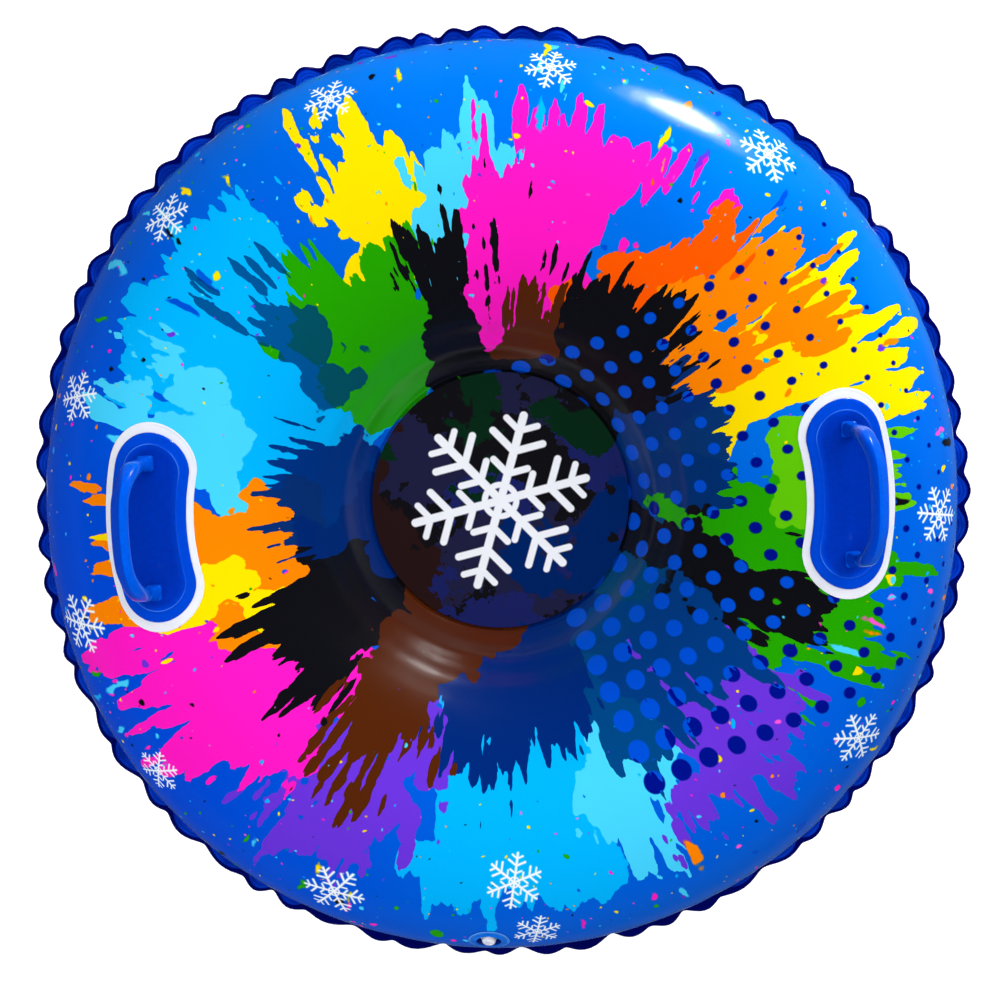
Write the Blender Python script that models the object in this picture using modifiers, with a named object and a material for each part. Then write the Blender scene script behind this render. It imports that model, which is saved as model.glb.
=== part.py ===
"""Inflated snow tube, lying flat on the snow.

Frame: metres, +Z up. The origin is on the ground under the middle of the tube. The two grips lie
on the X axis, the air valve near the -Y edge. The tube is two flat PVC sheets welded together
along their outer edge and around the seat; blown up, the cross-section is the curve of a membrane
whose hoops have wrinkled, so its curvature grows in proportion to the radius.
"""

import math

import bmesh
import bpy
from mathutils import Matrix, Vector

# ---------------------------------------------------------------- driving dimensions (metres)
R_BODY = 0.469  # outer seam of the inflated body
R_WELD = 0.1348  # circle where the inner slope meets the weld land of the seat
R_LAND = 0.120  # inner edge of the weld lands under the seat panel
R_FLANGE = 0.482  # outer edge of the welded flange, mean of its waves
T_TOP = 0.0006  # printed top sheet
T_BOTTOM = 0.0008  # thicker base sheet
T_SEAT = 0.0010  # seat panel
R_SEAT = 0.1330
GAP = 0.0003  # between pieces that touch
FLAT = 0.0012  # how far the underside is flattened where it rests
STEPS = 60

# handle
BEAN_MID = 0.3388  # medial line of the bean-shaped patch, at its middle
BEAN_BEND = 0.260  # radius that the patch is bent to, around the tube's middle
BORDER_HALF_W, BORDER_ARC = 0.0420, 0.0590
PLATE_HALF_W, PLATE_ARC = 0.0357, 0.0562
WELL_HALF_W, WELL_ARC = 0.0242, 0.0546
BORDER_LIFT = (GAP + 0.0001, GAP + 0.0006)
PLATE_UNDER = BORDER_LIFT[1] + GAP
WELL_TOP = PLATE_UNDER + 0.0010
BAND_TOP = PLATE_UNDER + 0.0025
GRIP_X = 0.3367  # hinge line of the grip's two roots
GRIP_HALF = 0.0625
GRIP_RISE = 0.056
GRIP_CORNER = 0.022
GRIP_R = 0.0082
ROOT_R = 0.0073
GRIP_LEAN = math.radians(10)
GRIP_BOW = 0.006

# air valve
VALVE_AZIMUTH = math.radians(-94.3)
VALVE_TILT = math.radians(50.0)
V_FLANGE_R = 0.0209
V_CUP_R = 0.0133
V_CUP_IN = 0.0123
V_CUP_DEPTH = 0.0140
V_HOLE_R = 0.0070
V_SHEET_HOLE = 0.0140
V_NECK_R, V_BORE_R = 0.0063, 0.0040
V_COLLAR_R = 0.0082
V_NECK_TOP, V_NECK_END = -0.0022, -0.0260
V_STEM_R, V_HEAD_R = 0.0037, 0.0073


# ---------------------------------------------------------------- cross-section of the inflated tube
def section(crest, n=1200):
    """Rows (slope, radius, height, length along the sheet), from the seat weld to the outer seam.
    slope is the angle of the surface's normal from vertical, outward positive."""
    k = 1.0 / (R_BODY**2 - crest**2)
    first = math.asin(-k * (crest**2 - R_WELD**2))
    rows, z, s, before = [], 0.0, 0.0, None
    for i in range(n + 1):
        slope = first + (math.pi / 2 - first) * i / n
        r = math.sqrt(crest**2 + math.sin(slope) / k)
        dz, ds = -math.sin(slope) / (2 * k * r), 1 / (2 * k * r)
        if before:
            step = slope - before[0]
            z += step * (dz + before[1]) / 2
            s += step * (ds + before[2]) / 2
        rows.append((slope, r, z, s))
        before = (slope, dz, ds)
    return rows


def crest_radius():
    """The crest's radius that brings both welds to one plane."""
    low, high = 0.30, 0.34
    for _ in range(50):
        mid = (low + high) / 2
        if section(mid, 400)[-1][2] > 0:
            high = mid
        else:
            low = mid
    return (low + high) / 2


CREST = crest_radius()
ROWS = section(CREST)
HEIGHT = max(row[2] for row in ROWS)
SEAM_Z = HEIGHT - FLAT + T_BOTTOM + GAP / 2


def row_at(value, column):
    """The section's row where a column (0 slope, 1 radius, 3 length) has this value."""
    low, high = 0, len(ROWS) - 1
    while high - low > 1:
        mid = (low + high) // 2
        if ROWS[mid][column] <= value:
            low = mid
        else:
            high = mid
    a, b = ROWS[low], ROWS[high]
    t = (value - a[column]) / (b[column] - a[column])
    return tuple(p + (q - p) * t for p, q in zip(a, b))


def on_top(row, azimuth, lift):
    """A point above the top sheet's outer surface, lift away from it."""
    slope, r, z, _ = row
    d = T_TOP + lift
    rho = r + d * math.sin(slope)
    return Vector((rho * math.cos(azimuth), rho * math.sin(azimuth), SEAM_Z + GAP / 2 + z + d * math.cos(slope)))


def over_plan(x, y, lift):
    """The point of the top sheet over a place on the ground, lifted along its normal."""
    return on_top(row_at(math.hypot(x, y), 1), math.atan2(y, x), lift)


# ---------------------------------------------------------------- scene set-up and helpers
for old in list(bpy.data.objects):
    bpy.data.objects.remove(old, do_unlink=True)
parts = bpy.data.collections.new("snow_tube")
cutters = bpy.data.collections.new("cutters")
bpy.context.scene.collection.children.link(parts)
bpy.context.scene.collection.children.link(cutters)
cutters.hide_render = True


def material(name, colour, roughness, metallic=0.0, alpha=1.0):
    m = bpy.data.materials.new(name)
    m.use_nodes = True
    shader = m.node_tree.nodes["Principled BSDF"]
    shader.inputs["Base Color"].default_value = (*colour, 1.0)
    shader.inputs["Roughness"].default_value = roughness
    shader.inputs["Metallic"].default_value = metallic
    shader.inputs["Alpha"].default_value = alpha
    return m


BLUE_PRINT = material("printed_pvc", (0.01, 0.16, 0.80), 0.22)
NAVY = material("base_pvc", (0.005, 0.02, 0.25), 0.35)
SEAT = material("seat_pvc", (0.02, 0.02, 0.035), 0.30)
WHITE = material("white_pvc", (0.90, 0.90, 0.92), 0.35)
ROYAL = material("moulded_blue", (0.01, 0.10, 0.62), 0.28)
ROYAL_GRIP = material("grip_blue", (0.01, 0.14, 0.72), 0.25)
CLEAR_BLUE = material("valve_blue", (0.03, 0.25, 0.75), 0.20, alpha=0.8)
MILKY = material("valve_white", (0.85, 0.87, 0.90), 0.30)


def place(obj, mat, smooth=True):
    parts.objects.link(obj)
    if obj.data.materials:
        obj.data.materials[0] = mat
    else:
        obj.data.materials.append(mat)
    if smooth and obj.type == "MESH":
        obj.data.shade_smooth()
        obj.data.set_sharp_from_angle(angle=math.radians(35))
    return obj


def turned(name, outline, steps):
    """A turned piece: a closed outline of (radius, height), spun about Z by a Screw modifier."""
    area = sum(a[0] * b[1] - b[0] * a[1] for a, b in zip(outline, outline[1:] + outline[:1]))
    if area > 0:  # the outer side has to run down, so that the faces point out
        outline = outline[::-1]
    mesh = bpy.data.meshes.new(name)
    bm = bmesh.new()
    points = [bm.verts.new((r, 0, z)) for r, z in outline]
    for a, b in zip(points, points[1:] + points[:1]):
        bm.edges.new((a, b))
    bm.to_mesh(mesh)
    bm.free()
    obj = bpy.data.objects.new(name, mesh)
    spin = obj.modifiers.new("turn", "SCREW")
    spin.axis = "Z"
    spin.angle = 2 * math.pi
    spin.steps = spin.render_steps = steps
    spin.use_merge_vertices = True
    spin.merge_threshold = 0.00005
    spin.use_smooth_shade = True
    return obj


def turned_solid(name, outline, steps):
    """A turned solid that reaches its axis: an open outline from the axis, down its outer side, to the axis."""
    mesh = bpy.data.meshes.new(name)
    bm = bmesh.new()
    points = [bm.verts.new((r, 0, z)) for r, z in outline]
    for a, b in zip(points, points[1:]):
        bm.edges.new((a, b))
    bm.to_mesh(mesh)
    bm.free()
    obj = bpy.data.objects.new(name, mesh)
    spin = obj.modifiers.new("turn", "SCREW")
    spin.axis = "Z"
    spin.angle = 2 * math.pi
    spin.steps = spin.render_steps = steps
    spin.use_merge_vertices = True
    spin.merge_threshold = 0.00005
    spin.use_smooth_shade = True
    return obj


def loft(name, rings, capped):
    """A loft through rings of points. Capped, its first and last rings are closed; otherwise the last joins the first."""
    mesh = bpy.data.meshes.new(name)
    bm = bmesh.new()
    loops = [[bm.verts.new(p) for p in ring] for ring in rings]
    pairs = list(zip(loops, loops[1:])) + ([] if capped else [(loops[-1], loops[0])])
    for lower, upper in pairs:
        n = len(lower)
        for i in range(n):
            j = (i + 1) % n
            bm.faces.new((lower[i], lower[j], upper[j], upper[i]))
    bmesh.ops.remove_doubles(bm, verts=bm.verts, dist=0.00002)
    bmesh.ops.recalc_face_normals(bm, faces=bm.faces)
    bm.to_mesh(mesh)
    bm.free()
    return bpy.data.objects.new(name, mesh)


def evaluated_mesh(obj):
    """The object as a plain mesh object, its modifiers applied, in world space; the original is removed."""
    bpy.context.view_layer.update()
    graph = bpy.context.evaluated_depsgraph_get()
    mesh = bpy.data.meshes.new_from_object(obj.evaluated_get(graph))
    mesh.transform(obj.matrix_world)
    bm = bmesh.new()
    bm.from_mesh(mesh)
    bmesh.ops.remove_doubles(bm, verts=bm.verts, dist=0.00001)
    bm.to_mesh(mesh)
    bm.free()
    name = obj.name
    bpy.data.objects.remove(obj, do_unlink=True)
    return bpy.data.objects.new(name, mesh)


# ---------------------------------------------------------------- the two sheets
def sheet_outline(slopes, thickness, flat):
    """Closed outline of a sheet, above its weld plane: the air side, out along the flange, and back outside."""
    inside = [(R_LAND, 0.0), (R_WELD, 0.0)]
    outside = []
    for slope in slopes:
        _, r, z, _ = row_at(slope, 0)
        if flat is not None:
            z = min(z, flat)
        inside.append((r, z))
        outside.append((r + thickness * math.sin(slope), z + thickness * math.cos(slope)))
    inside += [(R_BODY, 0.0), (R_FLANGE, 0.0)]
    miter = thickness * math.tan(abs(ROWS[0][0]) / 2)
    back = [(R_FLANGE, thickness), (R_BODY + thickness, thickness)]
    back += outside[::-1]
    back += [(R_WELD - miter, thickness), (R_LAND, thickness)]
    return inside + back


def spread(start, end, count):
    return [math.radians(start + (end - start) * i / (count - 1)) for i in range(count)]


top_slopes = spread(-48, -24, 3) + spread(-16, 24, 7) + spread(35, 77, 5)
top_outline = [(r, SEAM_Z + GAP / 2 + z) for r, z in sheet_outline(top_slopes, T_TOP, None)]
top_sheet = place(turned("top_sheet", top_outline, STEPS), BLUE_PRINT)

# the underside rests on a flat ring, where the sheet is pressed level
flat_z = HEIGHT - FLAT
edges = []
for first, last in zip(ROWS, ROWS[1:]):
    if (first[2] - flat_z) * (last[2] - flat_z) <= 0:
        edges.append(math.degrees(first[0]))
bottom_slopes = spread(-45, edges[0] - 7, 3) + spread(edges[0], edges[-1], 2) + spread(edges[-1] + 11, 75, 4)
bottom_outline = [
    (r, SEAM_Z - GAP / 2 - z) for r, z in sheet_outline(bottom_slopes, T_BOTTOM, flat_z)
]
bottom_sheet = place(turned("bottom_sheet", bottom_outline, STEPS), NAVY)

# seat panel: a round sheet welded over the lands of both sheets
seat_z = SEAM_Z + GAP / 2 + T_TOP + GAP
bm = bmesh.new()
bmesh.ops.create_cone(
    bm, cap_ends=True, segments=STEPS, radius1=R_SEAT, radius2=R_SEAT, depth=T_SEAT,
    matrix=Matrix.Translation((0, 0, seat_z + T_SEAT / 2)),
)
seat_mesh = bpy.data.meshes.new("seat_panel")
bm.to_mesh(seat_mesh)
bm.free()
place(bpy.data.objects.new("seat_panel", seat_mesh), SEAT)


# ---------------------------------------------------------------- handles
def bean(half_width, arc, sides=8, ends=8):
    """Plan of a bean: a capsule bent around the tube's middle. Points run round it; half_width 0 gives its medial line."""
    points = []

    def at(along, across):
        turn = along / BEAN_BEND
        rho = BEAN_BEND + across
        return (BEAN_MID - BEAN_BEND + rho * math.cos(turn), rho * math.sin(turn))

    for i in range(sides):
        points.append(at(-arc + 2 * arc * i / sides, half_width))
    for i in range(ends):
        a = math.pi / 2 - math.pi * i / ends
        points.append(at(arc + half_width * math.cos(a), half_width * math.sin(a)))
    for i in range(sides):
        points.append(at(arc - 2 * arc * i / sides, -half_width))
    for i in range(ends):
        a = -math.pi / 2 - math.pi * i / ends
        points.append(at(-arc + half_width * math.cos(a), half_width * math.sin(a)))
    return points


def bean_ring(half_width, arc, lift, side):
    return [
        over_plan(x, y, lift) if side > 0 else Vector((-1, 1, 1)) * over_plan(x, y, lift)
        for x, y in bean(half_width, arc)
    ]


def bean_plate(name, under, over, mat, side):
    """A moulded patch that follows the sheet. under and over are rows of (half width, arc, lift), from the middle out and back in."""
    return place(loft(name, [bean_ring(w, arc, lift, side) for w, arc, lift in under + over], True), mat)


def grip_path():
    """The grip's centreline, in (along Y, up from the hinge line), from one root to the other."""
    half = [(GRIP_HALF, 0.0), (GRIP_HALF, 0.012), (GRIP_HALF, 0.024)]
    for i in range(5):
        a = math.pi / 2 * i / 4
        half.append(
            (GRIP_HALF - GRIP_CORNER + GRIP_CORNER * math.cos(a), GRIP_RISE - GRIP_CORNER + GRIP_CORNER * math.sin(a))
        )
    half.append((0.020, GRIP_RISE))
    return [(-y, z) for y, z in half] + [(0.0, GRIP_RISE)] + half[::-1]


foot = over_plan(GRIP_X, GRIP_HALF, WELL_TOP)
GRIP_Z = foot.z + ROOT_R + 0.0005


def grip(name, side):
    curve = bpy.data.curves.new(name, "CURVE")
    curve.dimensions = "3D"
    curve.bevel_depth = GRIP_R
    curve.bevel_resolution = 2
    curve.use_fill_caps = True
    path = grip_path()
    spline = curve.splines.new("POLY")
    spline.points.add(len(path) - 1)
    for point, (y, z) in zip(spline.points, path):
        bow = GRIP_BOW * max(0.0, z / GRIP_RISE) * (1 - (y / GRIP_HALF) ** 2)
        x = bow * math.cos(GRIP_LEAN) + z * math.sin(GRIP_LEAN)
        up = -bow * math.sin(GRIP_LEAN) + z * math.cos(GRIP_LEAN)
        point.co = (side * x, y, up, 1.0)
        point.radius = (ROOT_R - 0.0003) / GRIP_R + (1 - (ROOT_R - 0.0003) / GRIP_R) * min(1.0, z / 0.03)
    bar = bpy.data.objects.new(name + "_bar", curve)
    parts.objects.link(bar)
    bar.location = (side * GRIP_X, 0, GRIP_Z)
    bar = evaluated_mesh(bar)
    parts.objects.link(bar)
    for y in (-GRIP_HALF, GRIP_HALF):
        bm = bmesh.new()
        bmesh.ops.create_cone(
            bm, cap_ends=True, segments=16, radius1=ROOT_R, radius2=ROOT_R, depth=2 * ROOT_R + 0.0008,
            matrix=Matrix.Translation((side * GRIP_X, y, GRIP_Z)) @ Matrix.Rotation(math.pi / 2, 4, "X"),
        )
        mesh = bpy.data.meshes.new("root")
        bm.to_mesh(mesh)
        bm.free()
        root = bpy.data.objects.new("root", mesh)
        cutters.objects.link(root)
        root.hide_render = True
        root.display_type = "WIRE"
        join = bar.modifiers.new("root", "BOOLEAN")
        join.operation = "UNION"
        join.solver = "EXACT"
        join.object = root
    joined = evaluated_mesh(bar)
    # the object's origin goes on its hinge line
    joined.name = name
    joined.data.transform(Matrix.Translation((-side * GRIP_X, 0, -GRIP_Z)))
    joined.location = (side * GRIP_X, 0, GRIP_Z)
    return place(joined, ROYAL_GRIP)


for label, side in (("left", -1), ("right", 1)):
    bean_plate(
        label + "_handle_border",
        [(w, BORDER_ARC, BORDER_LIFT[0]) for w in (0.0, 0.0105, 0.0210, 0.0315, BORDER_HALF_W)],
        [(w, BORDER_ARC, BORDER_LIFT[1]) for w in (BORDER_HALF_W, 0.0315, 0.0210, 0.0105, 0.0)],
        WHITE,
        side,
    )
    bean_plate(
        label + "_handle_plate",
        [(w, PLATE_ARC, PLATE_UNDER) for w in (0.0, 0.0117, 0.0234, PLATE_HALF_W)],
        [
            (PLATE_HALF_W, PLATE_ARC, PLATE_UNDER + 0.0012),
            (PLATE_HALF_W - 0.0012, PLATE_ARC, BAND_TOP),
            (WELL_HALF_W + 0.0015, WELL_ARC, BAND_TOP),
            (WELL_HALF_W, WELL_ARC, WELL_TOP),
            (0.0120, WELL_ARC, WELL_TOP),
            (0.0, WELL_ARC, WELL_TOP),
        ],
        ROYAL,
        side,
    )
    grip(label + "_grip", side)


# ---------------------------------------------------------------- air valve
valve_row = row_at(VALVE_TILT, 0)
VALVE_AT = on_top(valve_row, VALVE_AZIMUTH, 0.0)
outward = Vector((math.cos(VALVE_AZIMUTH), math.sin(VALVE_AZIMUTH), 0))
NORMAL = outward * math.sin(VALVE_TILT) + Vector((0, 0, 1)) * math.cos(VALVE_TILT)
DOWN = outward * math.cos(VALVE_TILT) - Vector((0, 0, 1)) * math.sin(VALVE_TILT)
AROUND = NORMAL.cross(DOWN)
FRAME = Matrix.Translation(VALVE_AT) @ Matrix((DOWN, AROUND, NORMAL)).transposed().to_4x4()


def valve_ring(radius, height, conform, count=28):
    """A ring round the valve's axis; conform makes it follow the sheet instead of lying level."""
    ring = []
    for i in range(count):
        a = 2 * math.pi * i / count
        u, v = radius * math.cos(a), radius * math.sin(a)
        if conform:
            row = row_at(valve_row[3] + u, 3)
            ring.append(on_top(row, VALVE_AZIMUTH + v / row[1], height))
        else:
            ring.append(VALVE_AT + u * DOWN + v * AROUND + height * NORMAL)
    return ring


base_rings = [
    valve_ring(V_FLANGE_R, GAP, True),
    valve_ring(0.0170, GAP, True),
    valve_ring(V_CUP_R, -0.0002, True),
    valve_ring(V_CUP_R, -V_CUP_DEPTH, False),
    valve_ring(V_HOLE_R, -V_CUP_DEPTH, False),
    valve_ring(V_HOLE_R, -V_CUP_DEPTH + 0.0010, False),
    valve_ring(V_CUP_IN, -V_CUP_DEPTH + 0.0010, False),
    valve_ring(V_CUP_IN, 0.0016, True),
    valve_ring(V_CUP_R + 0.0006, 0.0019, True),
    valve_ring(V_CUP_R + 0.0014, 0.0011, True),
    valve_ring(0.0170, 0.0011, True),
    valve_ring(V_FLANGE_R - 0.0003, 0.0009, True),
]
place(loft("valve_base", base_rings, False), CLEAR_BLUE)

# hole through the top sheet for the valve's cup
bm = bmesh.new()
bmesh.ops.create_cone(bm, cap_ends=True, segments=32, radius1=V_SHEET_HOLE, radius2=V_SHEET_HOLE, depth=0.030)
mesh = bpy.data.meshes.new("valve_hole")
bm.to_mesh(mesh)
bm.free()
hole = bpy.data.objects.new("valve_hole", mesh)
cutters.objects.link(hole)
hole.matrix_world = FRAME
hole.hide_render = True
hole.display_type = "WIRE"
cut = top_sheet.modifiers.new("valve_hole", "BOOLEAN")
cut.operation = "DIFFERENCE"
cut.solver = "EXACT"
cut.object = hole

# neck: a tube that pushes in and pulls out, with a collar outside and a stop ring inside
neck_outline = [
    (V_BORE_R, V_NECK_TOP),
    (V_COLLAR_R, V_NECK_TOP),
    (V_COLLAR_R, V_NECK_TOP - 0.0010),
    (V_NECK_R, V_NECK_TOP - 0.0014),
    (V_NECK_R, V_NECK_END + 0.0014),
    (V_HOLE_R + 0.0006, V_NECK_END + 0.0010),
    (V_HOLE_R + 0.0006, V_NECK_END),
    (V_BORE_R, V_NECK_END),
]
neck = place(turned("valve_neck", neck_outline, 24), MILKY)
neck.matrix_world = FRAME

# plug: a stopper with a domed head and a pull tab
plug_outline = [
    (0.0, 0.0014),
    (0.0035, 0.0011),
    (0.0062, 0.0002),
    (V_HEAD_R, -0.0010),
    (V_HEAD_R, -0.0019),
    (V_STEM_R, -0.0019),
    (V_STEM_R, -0.0095),
    (V_STEM_R - 0.0008, -0.0110),
    (0.0, -0.0110),
]
plug = turned_solid("valve_plug", plug_outline, 24)
parts.objects.link(plug)
plug.matrix_world = FRAME
plug_mesh = evaluated_mesh(plug)
parts.objects.link(plug_mesh)
bm = bmesh.new()
bmesh.ops.create_cube(
    bm, size=1.0,
    matrix=FRAME @ Matrix.Translation((-0.0082, 0.0, -0.0008)) @ Matrix.Diagonal((0.0050, 0.0046, 0.0014, 1.0)),
)
mesh = bpy.data.meshes.new("tab")
bm.to_mesh(mesh)
bm.free()
tab = bpy.data.objects.new("tab", mesh)
cutters.objects.link(tab)
tab.hide_render = True
tab.display_type = "WIRE"
join = plug_mesh.modifiers.new("tab", "BOOLEAN")
join.operation = "UNION"
join.solver = "EXACT"
join.object = tab
plug_joined = evaluated_mesh(plug_mesh)
plug_joined.name = "valve_plug"
plug_joined.data.transform(FRAME.inverted())
plug_joined.matrix_world = FRAME
place(plug_joined, MILKY)

# tether: a thin strap that keeps the plug on the neck
curve = bpy.data.curves.new("valve_tether", "CURVE")
curve.dimensions = "3D"
curve.bevel_depth = 0.0006
curve.bevel_resolution = 2
curve.use_fill_caps = True
spline = curve.splines.new("POLY")
tether_path = [(0.0091, -0.0029), (0.0103, -0.0030), (0.0112, -0.0024), (0.0113, -0.0015), (0.0105, -0.0009), (0.0092, -0.0009), (0.0083, -0.0012)]
spline.points.add(len(tether_path) - 1)
for point, (along, up) in zip(spline.points, tether_path):
    point.co = (along, 0.0, up, 1.0)
tether = bpy.data.objects.new("valve_tether", curve)
place(tether, MILKY)
tether.matrix_world = FRAME

# flap: the non-return disc at the neck's inner end; its origin is on its hinge
FLAP_HINGE = 0.0066
bm = bmesh.new()
bmesh.ops.create_cone(
    bm, cap_ends=True, segments=20, radius1=0.0060, radius2=0.0060, depth=0.0006,
    matrix=Matrix.Translation((-FLAP_HINGE, 0, -0.0003)),
)
mesh = bpy.data.meshes.new("valve_flap")
bm.to_mesh(mesh)
bm.free()
flap = place(bpy.data.objects.new("valve_flap", mesh), MILKY)
flap.matrix_world = FRAME @ Matrix.Translation((FLAP_HINGE, 0, V_NECK_END - GAP))
hinge_at = flap.matrix_world.translation
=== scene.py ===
"""Looks of the inflated snow tube: the printed and welded skins with their scalloped seam, the handles, the valve,
the studio and the camera. Metres, +Z up, in the same frame as the CAD parts."""

import math
import random

import bmesh
import bpy
import numpy as np
from mathutils import Matrix, Vector, noise


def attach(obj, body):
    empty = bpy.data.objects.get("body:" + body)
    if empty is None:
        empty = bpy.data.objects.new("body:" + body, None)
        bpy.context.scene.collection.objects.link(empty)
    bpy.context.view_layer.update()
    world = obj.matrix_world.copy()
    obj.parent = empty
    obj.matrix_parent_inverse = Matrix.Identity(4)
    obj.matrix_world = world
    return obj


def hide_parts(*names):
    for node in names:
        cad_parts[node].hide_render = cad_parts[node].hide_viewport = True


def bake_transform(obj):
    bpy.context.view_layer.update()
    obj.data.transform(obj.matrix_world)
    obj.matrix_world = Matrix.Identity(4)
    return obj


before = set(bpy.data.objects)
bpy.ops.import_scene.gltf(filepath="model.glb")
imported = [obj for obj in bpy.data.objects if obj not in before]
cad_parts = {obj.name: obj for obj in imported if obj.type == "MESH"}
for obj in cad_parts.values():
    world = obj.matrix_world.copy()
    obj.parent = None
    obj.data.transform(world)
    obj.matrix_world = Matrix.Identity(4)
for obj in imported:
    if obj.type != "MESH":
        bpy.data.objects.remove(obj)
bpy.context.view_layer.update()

# ================================================================ sizes shared with the CAD parts
R_BODY = 0.469
R_WELD = 0.1348
R_LAND = 0.120
R_FLANGE = 0.482
FLANGE = R_FLANGE - R_BODY
T_TOP, T_BOTTOM, T_SEAT = 0.0006, 0.0008, 0.0010
R_SEAT = 0.1330
GAP = 0.0003
FLAT = 0.0012
BEAN_MID, BEAN_BEND = 0.3388, 0.260
BORDER_HALF_W, BORDER_ARC = 0.0420, 0.0590
PLATE_HALF_W, PLATE_ARC = 0.0357, 0.0562
WELL_HALF_W, WELL_ARC = 0.0242, 0.0546
GRIP_X, GRIP_HALF, GRIP_RISE, GRIP_CORNER = 0.3367, 0.0625, 0.056, 0.033
GRIP_LEAN = math.radians(10)
GRIP_BOW = 0.006
VALVE_AZIMUTH, VALVE_TILT = math.radians(-94.3), math.radians(50.0)


def section(crest, n=6000):
    """The inflated cross-section as arrays: slope of the normal, radius, height over the weld plane, length along the sheet."""
    k = 1.0 / (R_BODY**2 - crest**2)
    first = math.asin(-k * (crest**2 - R_WELD**2))
    slope = np.linspace(first, math.pi / 2, n)
    r = np.sqrt(crest**2 + np.sin(slope) / k)
    dz, ds = -np.sin(slope) / (2 * k * r), 1 / (2 * k * r)
    step = slope[1] - slope[0]
    z = np.concatenate([[0], np.cumsum((dz[1:] + dz[:-1]) / 2 * step)])
    s = np.concatenate([[0], np.cumsum((ds[1:] + ds[:-1]) / 2 * step)])
    return slope, r, z, s


low, high = 0.30, 0.34
for _ in range(40):
    mid = (low + high) / 2
    if section(mid, 1500)[2][-1] > 0:
        high = mid
    else:
        low = mid
CREST = (low + high) / 2
SLOPE, RADIUS, RISE, LENGTH = section(CREST)
TOTAL = float(LENGTH[-1])
HEIGHT = float(RISE.max())
SEAM_Z = HEIGHT - FLAT + T_BOTTOM + GAP / 2


def at_length(s):
    """slope, radius, rise where the sheet's length from the seat weld is s."""
    return np.interp(s, LENGTH, SLOPE), np.interp(s, LENGTH, RADIUS), np.interp(s, LENGTH, RISE)


def surface(r, azimuth, lift):
    """A point lifted off the smooth top sheet at plan radius r."""
    slope, z = float(np.interp(r, RADIUS, SLOPE)), float(np.interp(r, RADIUS, RISE))
    d = T_TOP + lift
    rho = r + d * math.sin(slope)
    return Vector((rho * math.cos(azimuth), rho * math.sin(azimuth), SEAM_Z + GAP / 2 + z + d * math.cos(slope)))


# ================================================================ the welded seam: scallops and puckers
LOBES, PER_LOBE = 75, 12
rng = random.Random(11)
pitch = []
for i in range(LOBES):
    side_of_top = math.cos(2 * math.pi * i / LOBES - math.pi / 2)
    pitch.append(rng.uniform(0.80, 1.22) * (1 - 0.13 * side_of_top))
scale = 2 * math.pi / sum(pitch)
pitch = [p * scale for p in pitch]
starts = [sum(pitch[:i]) + 0.013 for i in range(LOBES)]
peak = [rng.uniform(0.70, 1.25) for _ in range(LOBES)]
skew = [rng.uniform(0.80, 1.25) for _ in range(LOBES)]
valley = [rng.uniform(0.60, 1.35) * (1.7 if rng.random() < 0.07 else 1.0) for _ in range(LOBES)]
fold = [(-1) ** i * rng.uniform(0.55, 1.1) for i in range(LOBES)]
reach = [rng.uniform(0.6, 1.5) * (2.2 if rng.random() < 0.22 else 1.0) for _ in range(LOBES)]
curl = [rng.uniform(-1.0, 1.0) for _ in range(LOBES)]

theta, lobe, wave, depth, height, near, long_crease, curled = ([] for _ in range(8))
for i in range(LOBES):
    j2 = (i + 1) % LOBES
    for j in range(PER_LOBE):
        u = j / PER_LOBE - 0.085 * math.sin(2 * math.pi * j / PER_LOBE)
        blend = u * u * (3 - 2 * u)
        soft = 0.26  # how rounded the valleys are
        round_lobe = (math.hypot(math.sin(math.pi * u ** skew[i]), soft) - soft) / (math.hypot(1, soft) - soft)
        theta.append(starts[i] + u * pitch[i])
        lobe.append(max(0.0, round_lobe))
        wave.append(fold[i] * (1 - blend) + fold[j2] * blend)
        depth.append(valley[i] * (1 - blend) + valley[j2] * blend)
        height.append(peak[i])
        d = min(u, 1 - u) * pitch[i] * R_BODY
        near.append(d)
        long_crease.append(reach[i] if u < 0.5 else reach[j2])
        curled.append(curl[i])
theta, lobe, wave, depth, height, near, long_crease, curled = map(
    np.array, (theta, lobe, wave, depth, height, near, long_crease, curled)
)
COLUMNS = len(theta)
COS, SIN = np.cos(theta), np.sin(theta)
# the edge isn't quite round
OVAL = 0.0009 * np.cos(3 * theta + 0.53) + 0.0017 * np.cos(4 * theta + 2.91) + 0.0007 * np.cos(5 * theta + 0.97)


def smooth_step(x):
    x = np.clip(x, 0, 1)
    return x * x * (3 - 2 * x)


def ripple(seed, freq_round, freq_along, s):
    """Smooth noise round the tube for one row, from -1 to 1."""
    out = np.empty(COLUMNS)
    for i in range(COLUMNS):
        out[i] = noise.noise(Vector((COS[i] * freq_round + seed, SIN[i] * freq_round - seed, s * freq_along)))
    return out


# ---------------------------------------------------------------- plans of the handle and valve patches
def bean(half_width, arc, sides, ends):
    """Plan of a bean: a capsule bent around the tube's middle."""
    points = []

    def at(along, across):
        turn = along / BEAN_BEND
        rho = BEAN_BEND + across
        return (BEAN_MID - BEAN_BEND + rho * math.cos(turn), rho * math.sin(turn))

    for i in range(sides):
        points.append(at(-arc + 2 * arc * i / sides, half_width))
    for i in range(ends):
        a = math.pi / 2 - math.pi * i / ends
        points.append(at(arc + half_width * math.cos(a), half_width * math.sin(a)))
    for i in range(sides):
        points.append(at(arc - 2 * arc * i / sides, -half_width))
    for i in range(ends):
        a = -math.pi / 2 - math.pi * i / ends
        points.append(at(-arc + half_width * math.cos(a), half_width * math.sin(a)))
    return points


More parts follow.
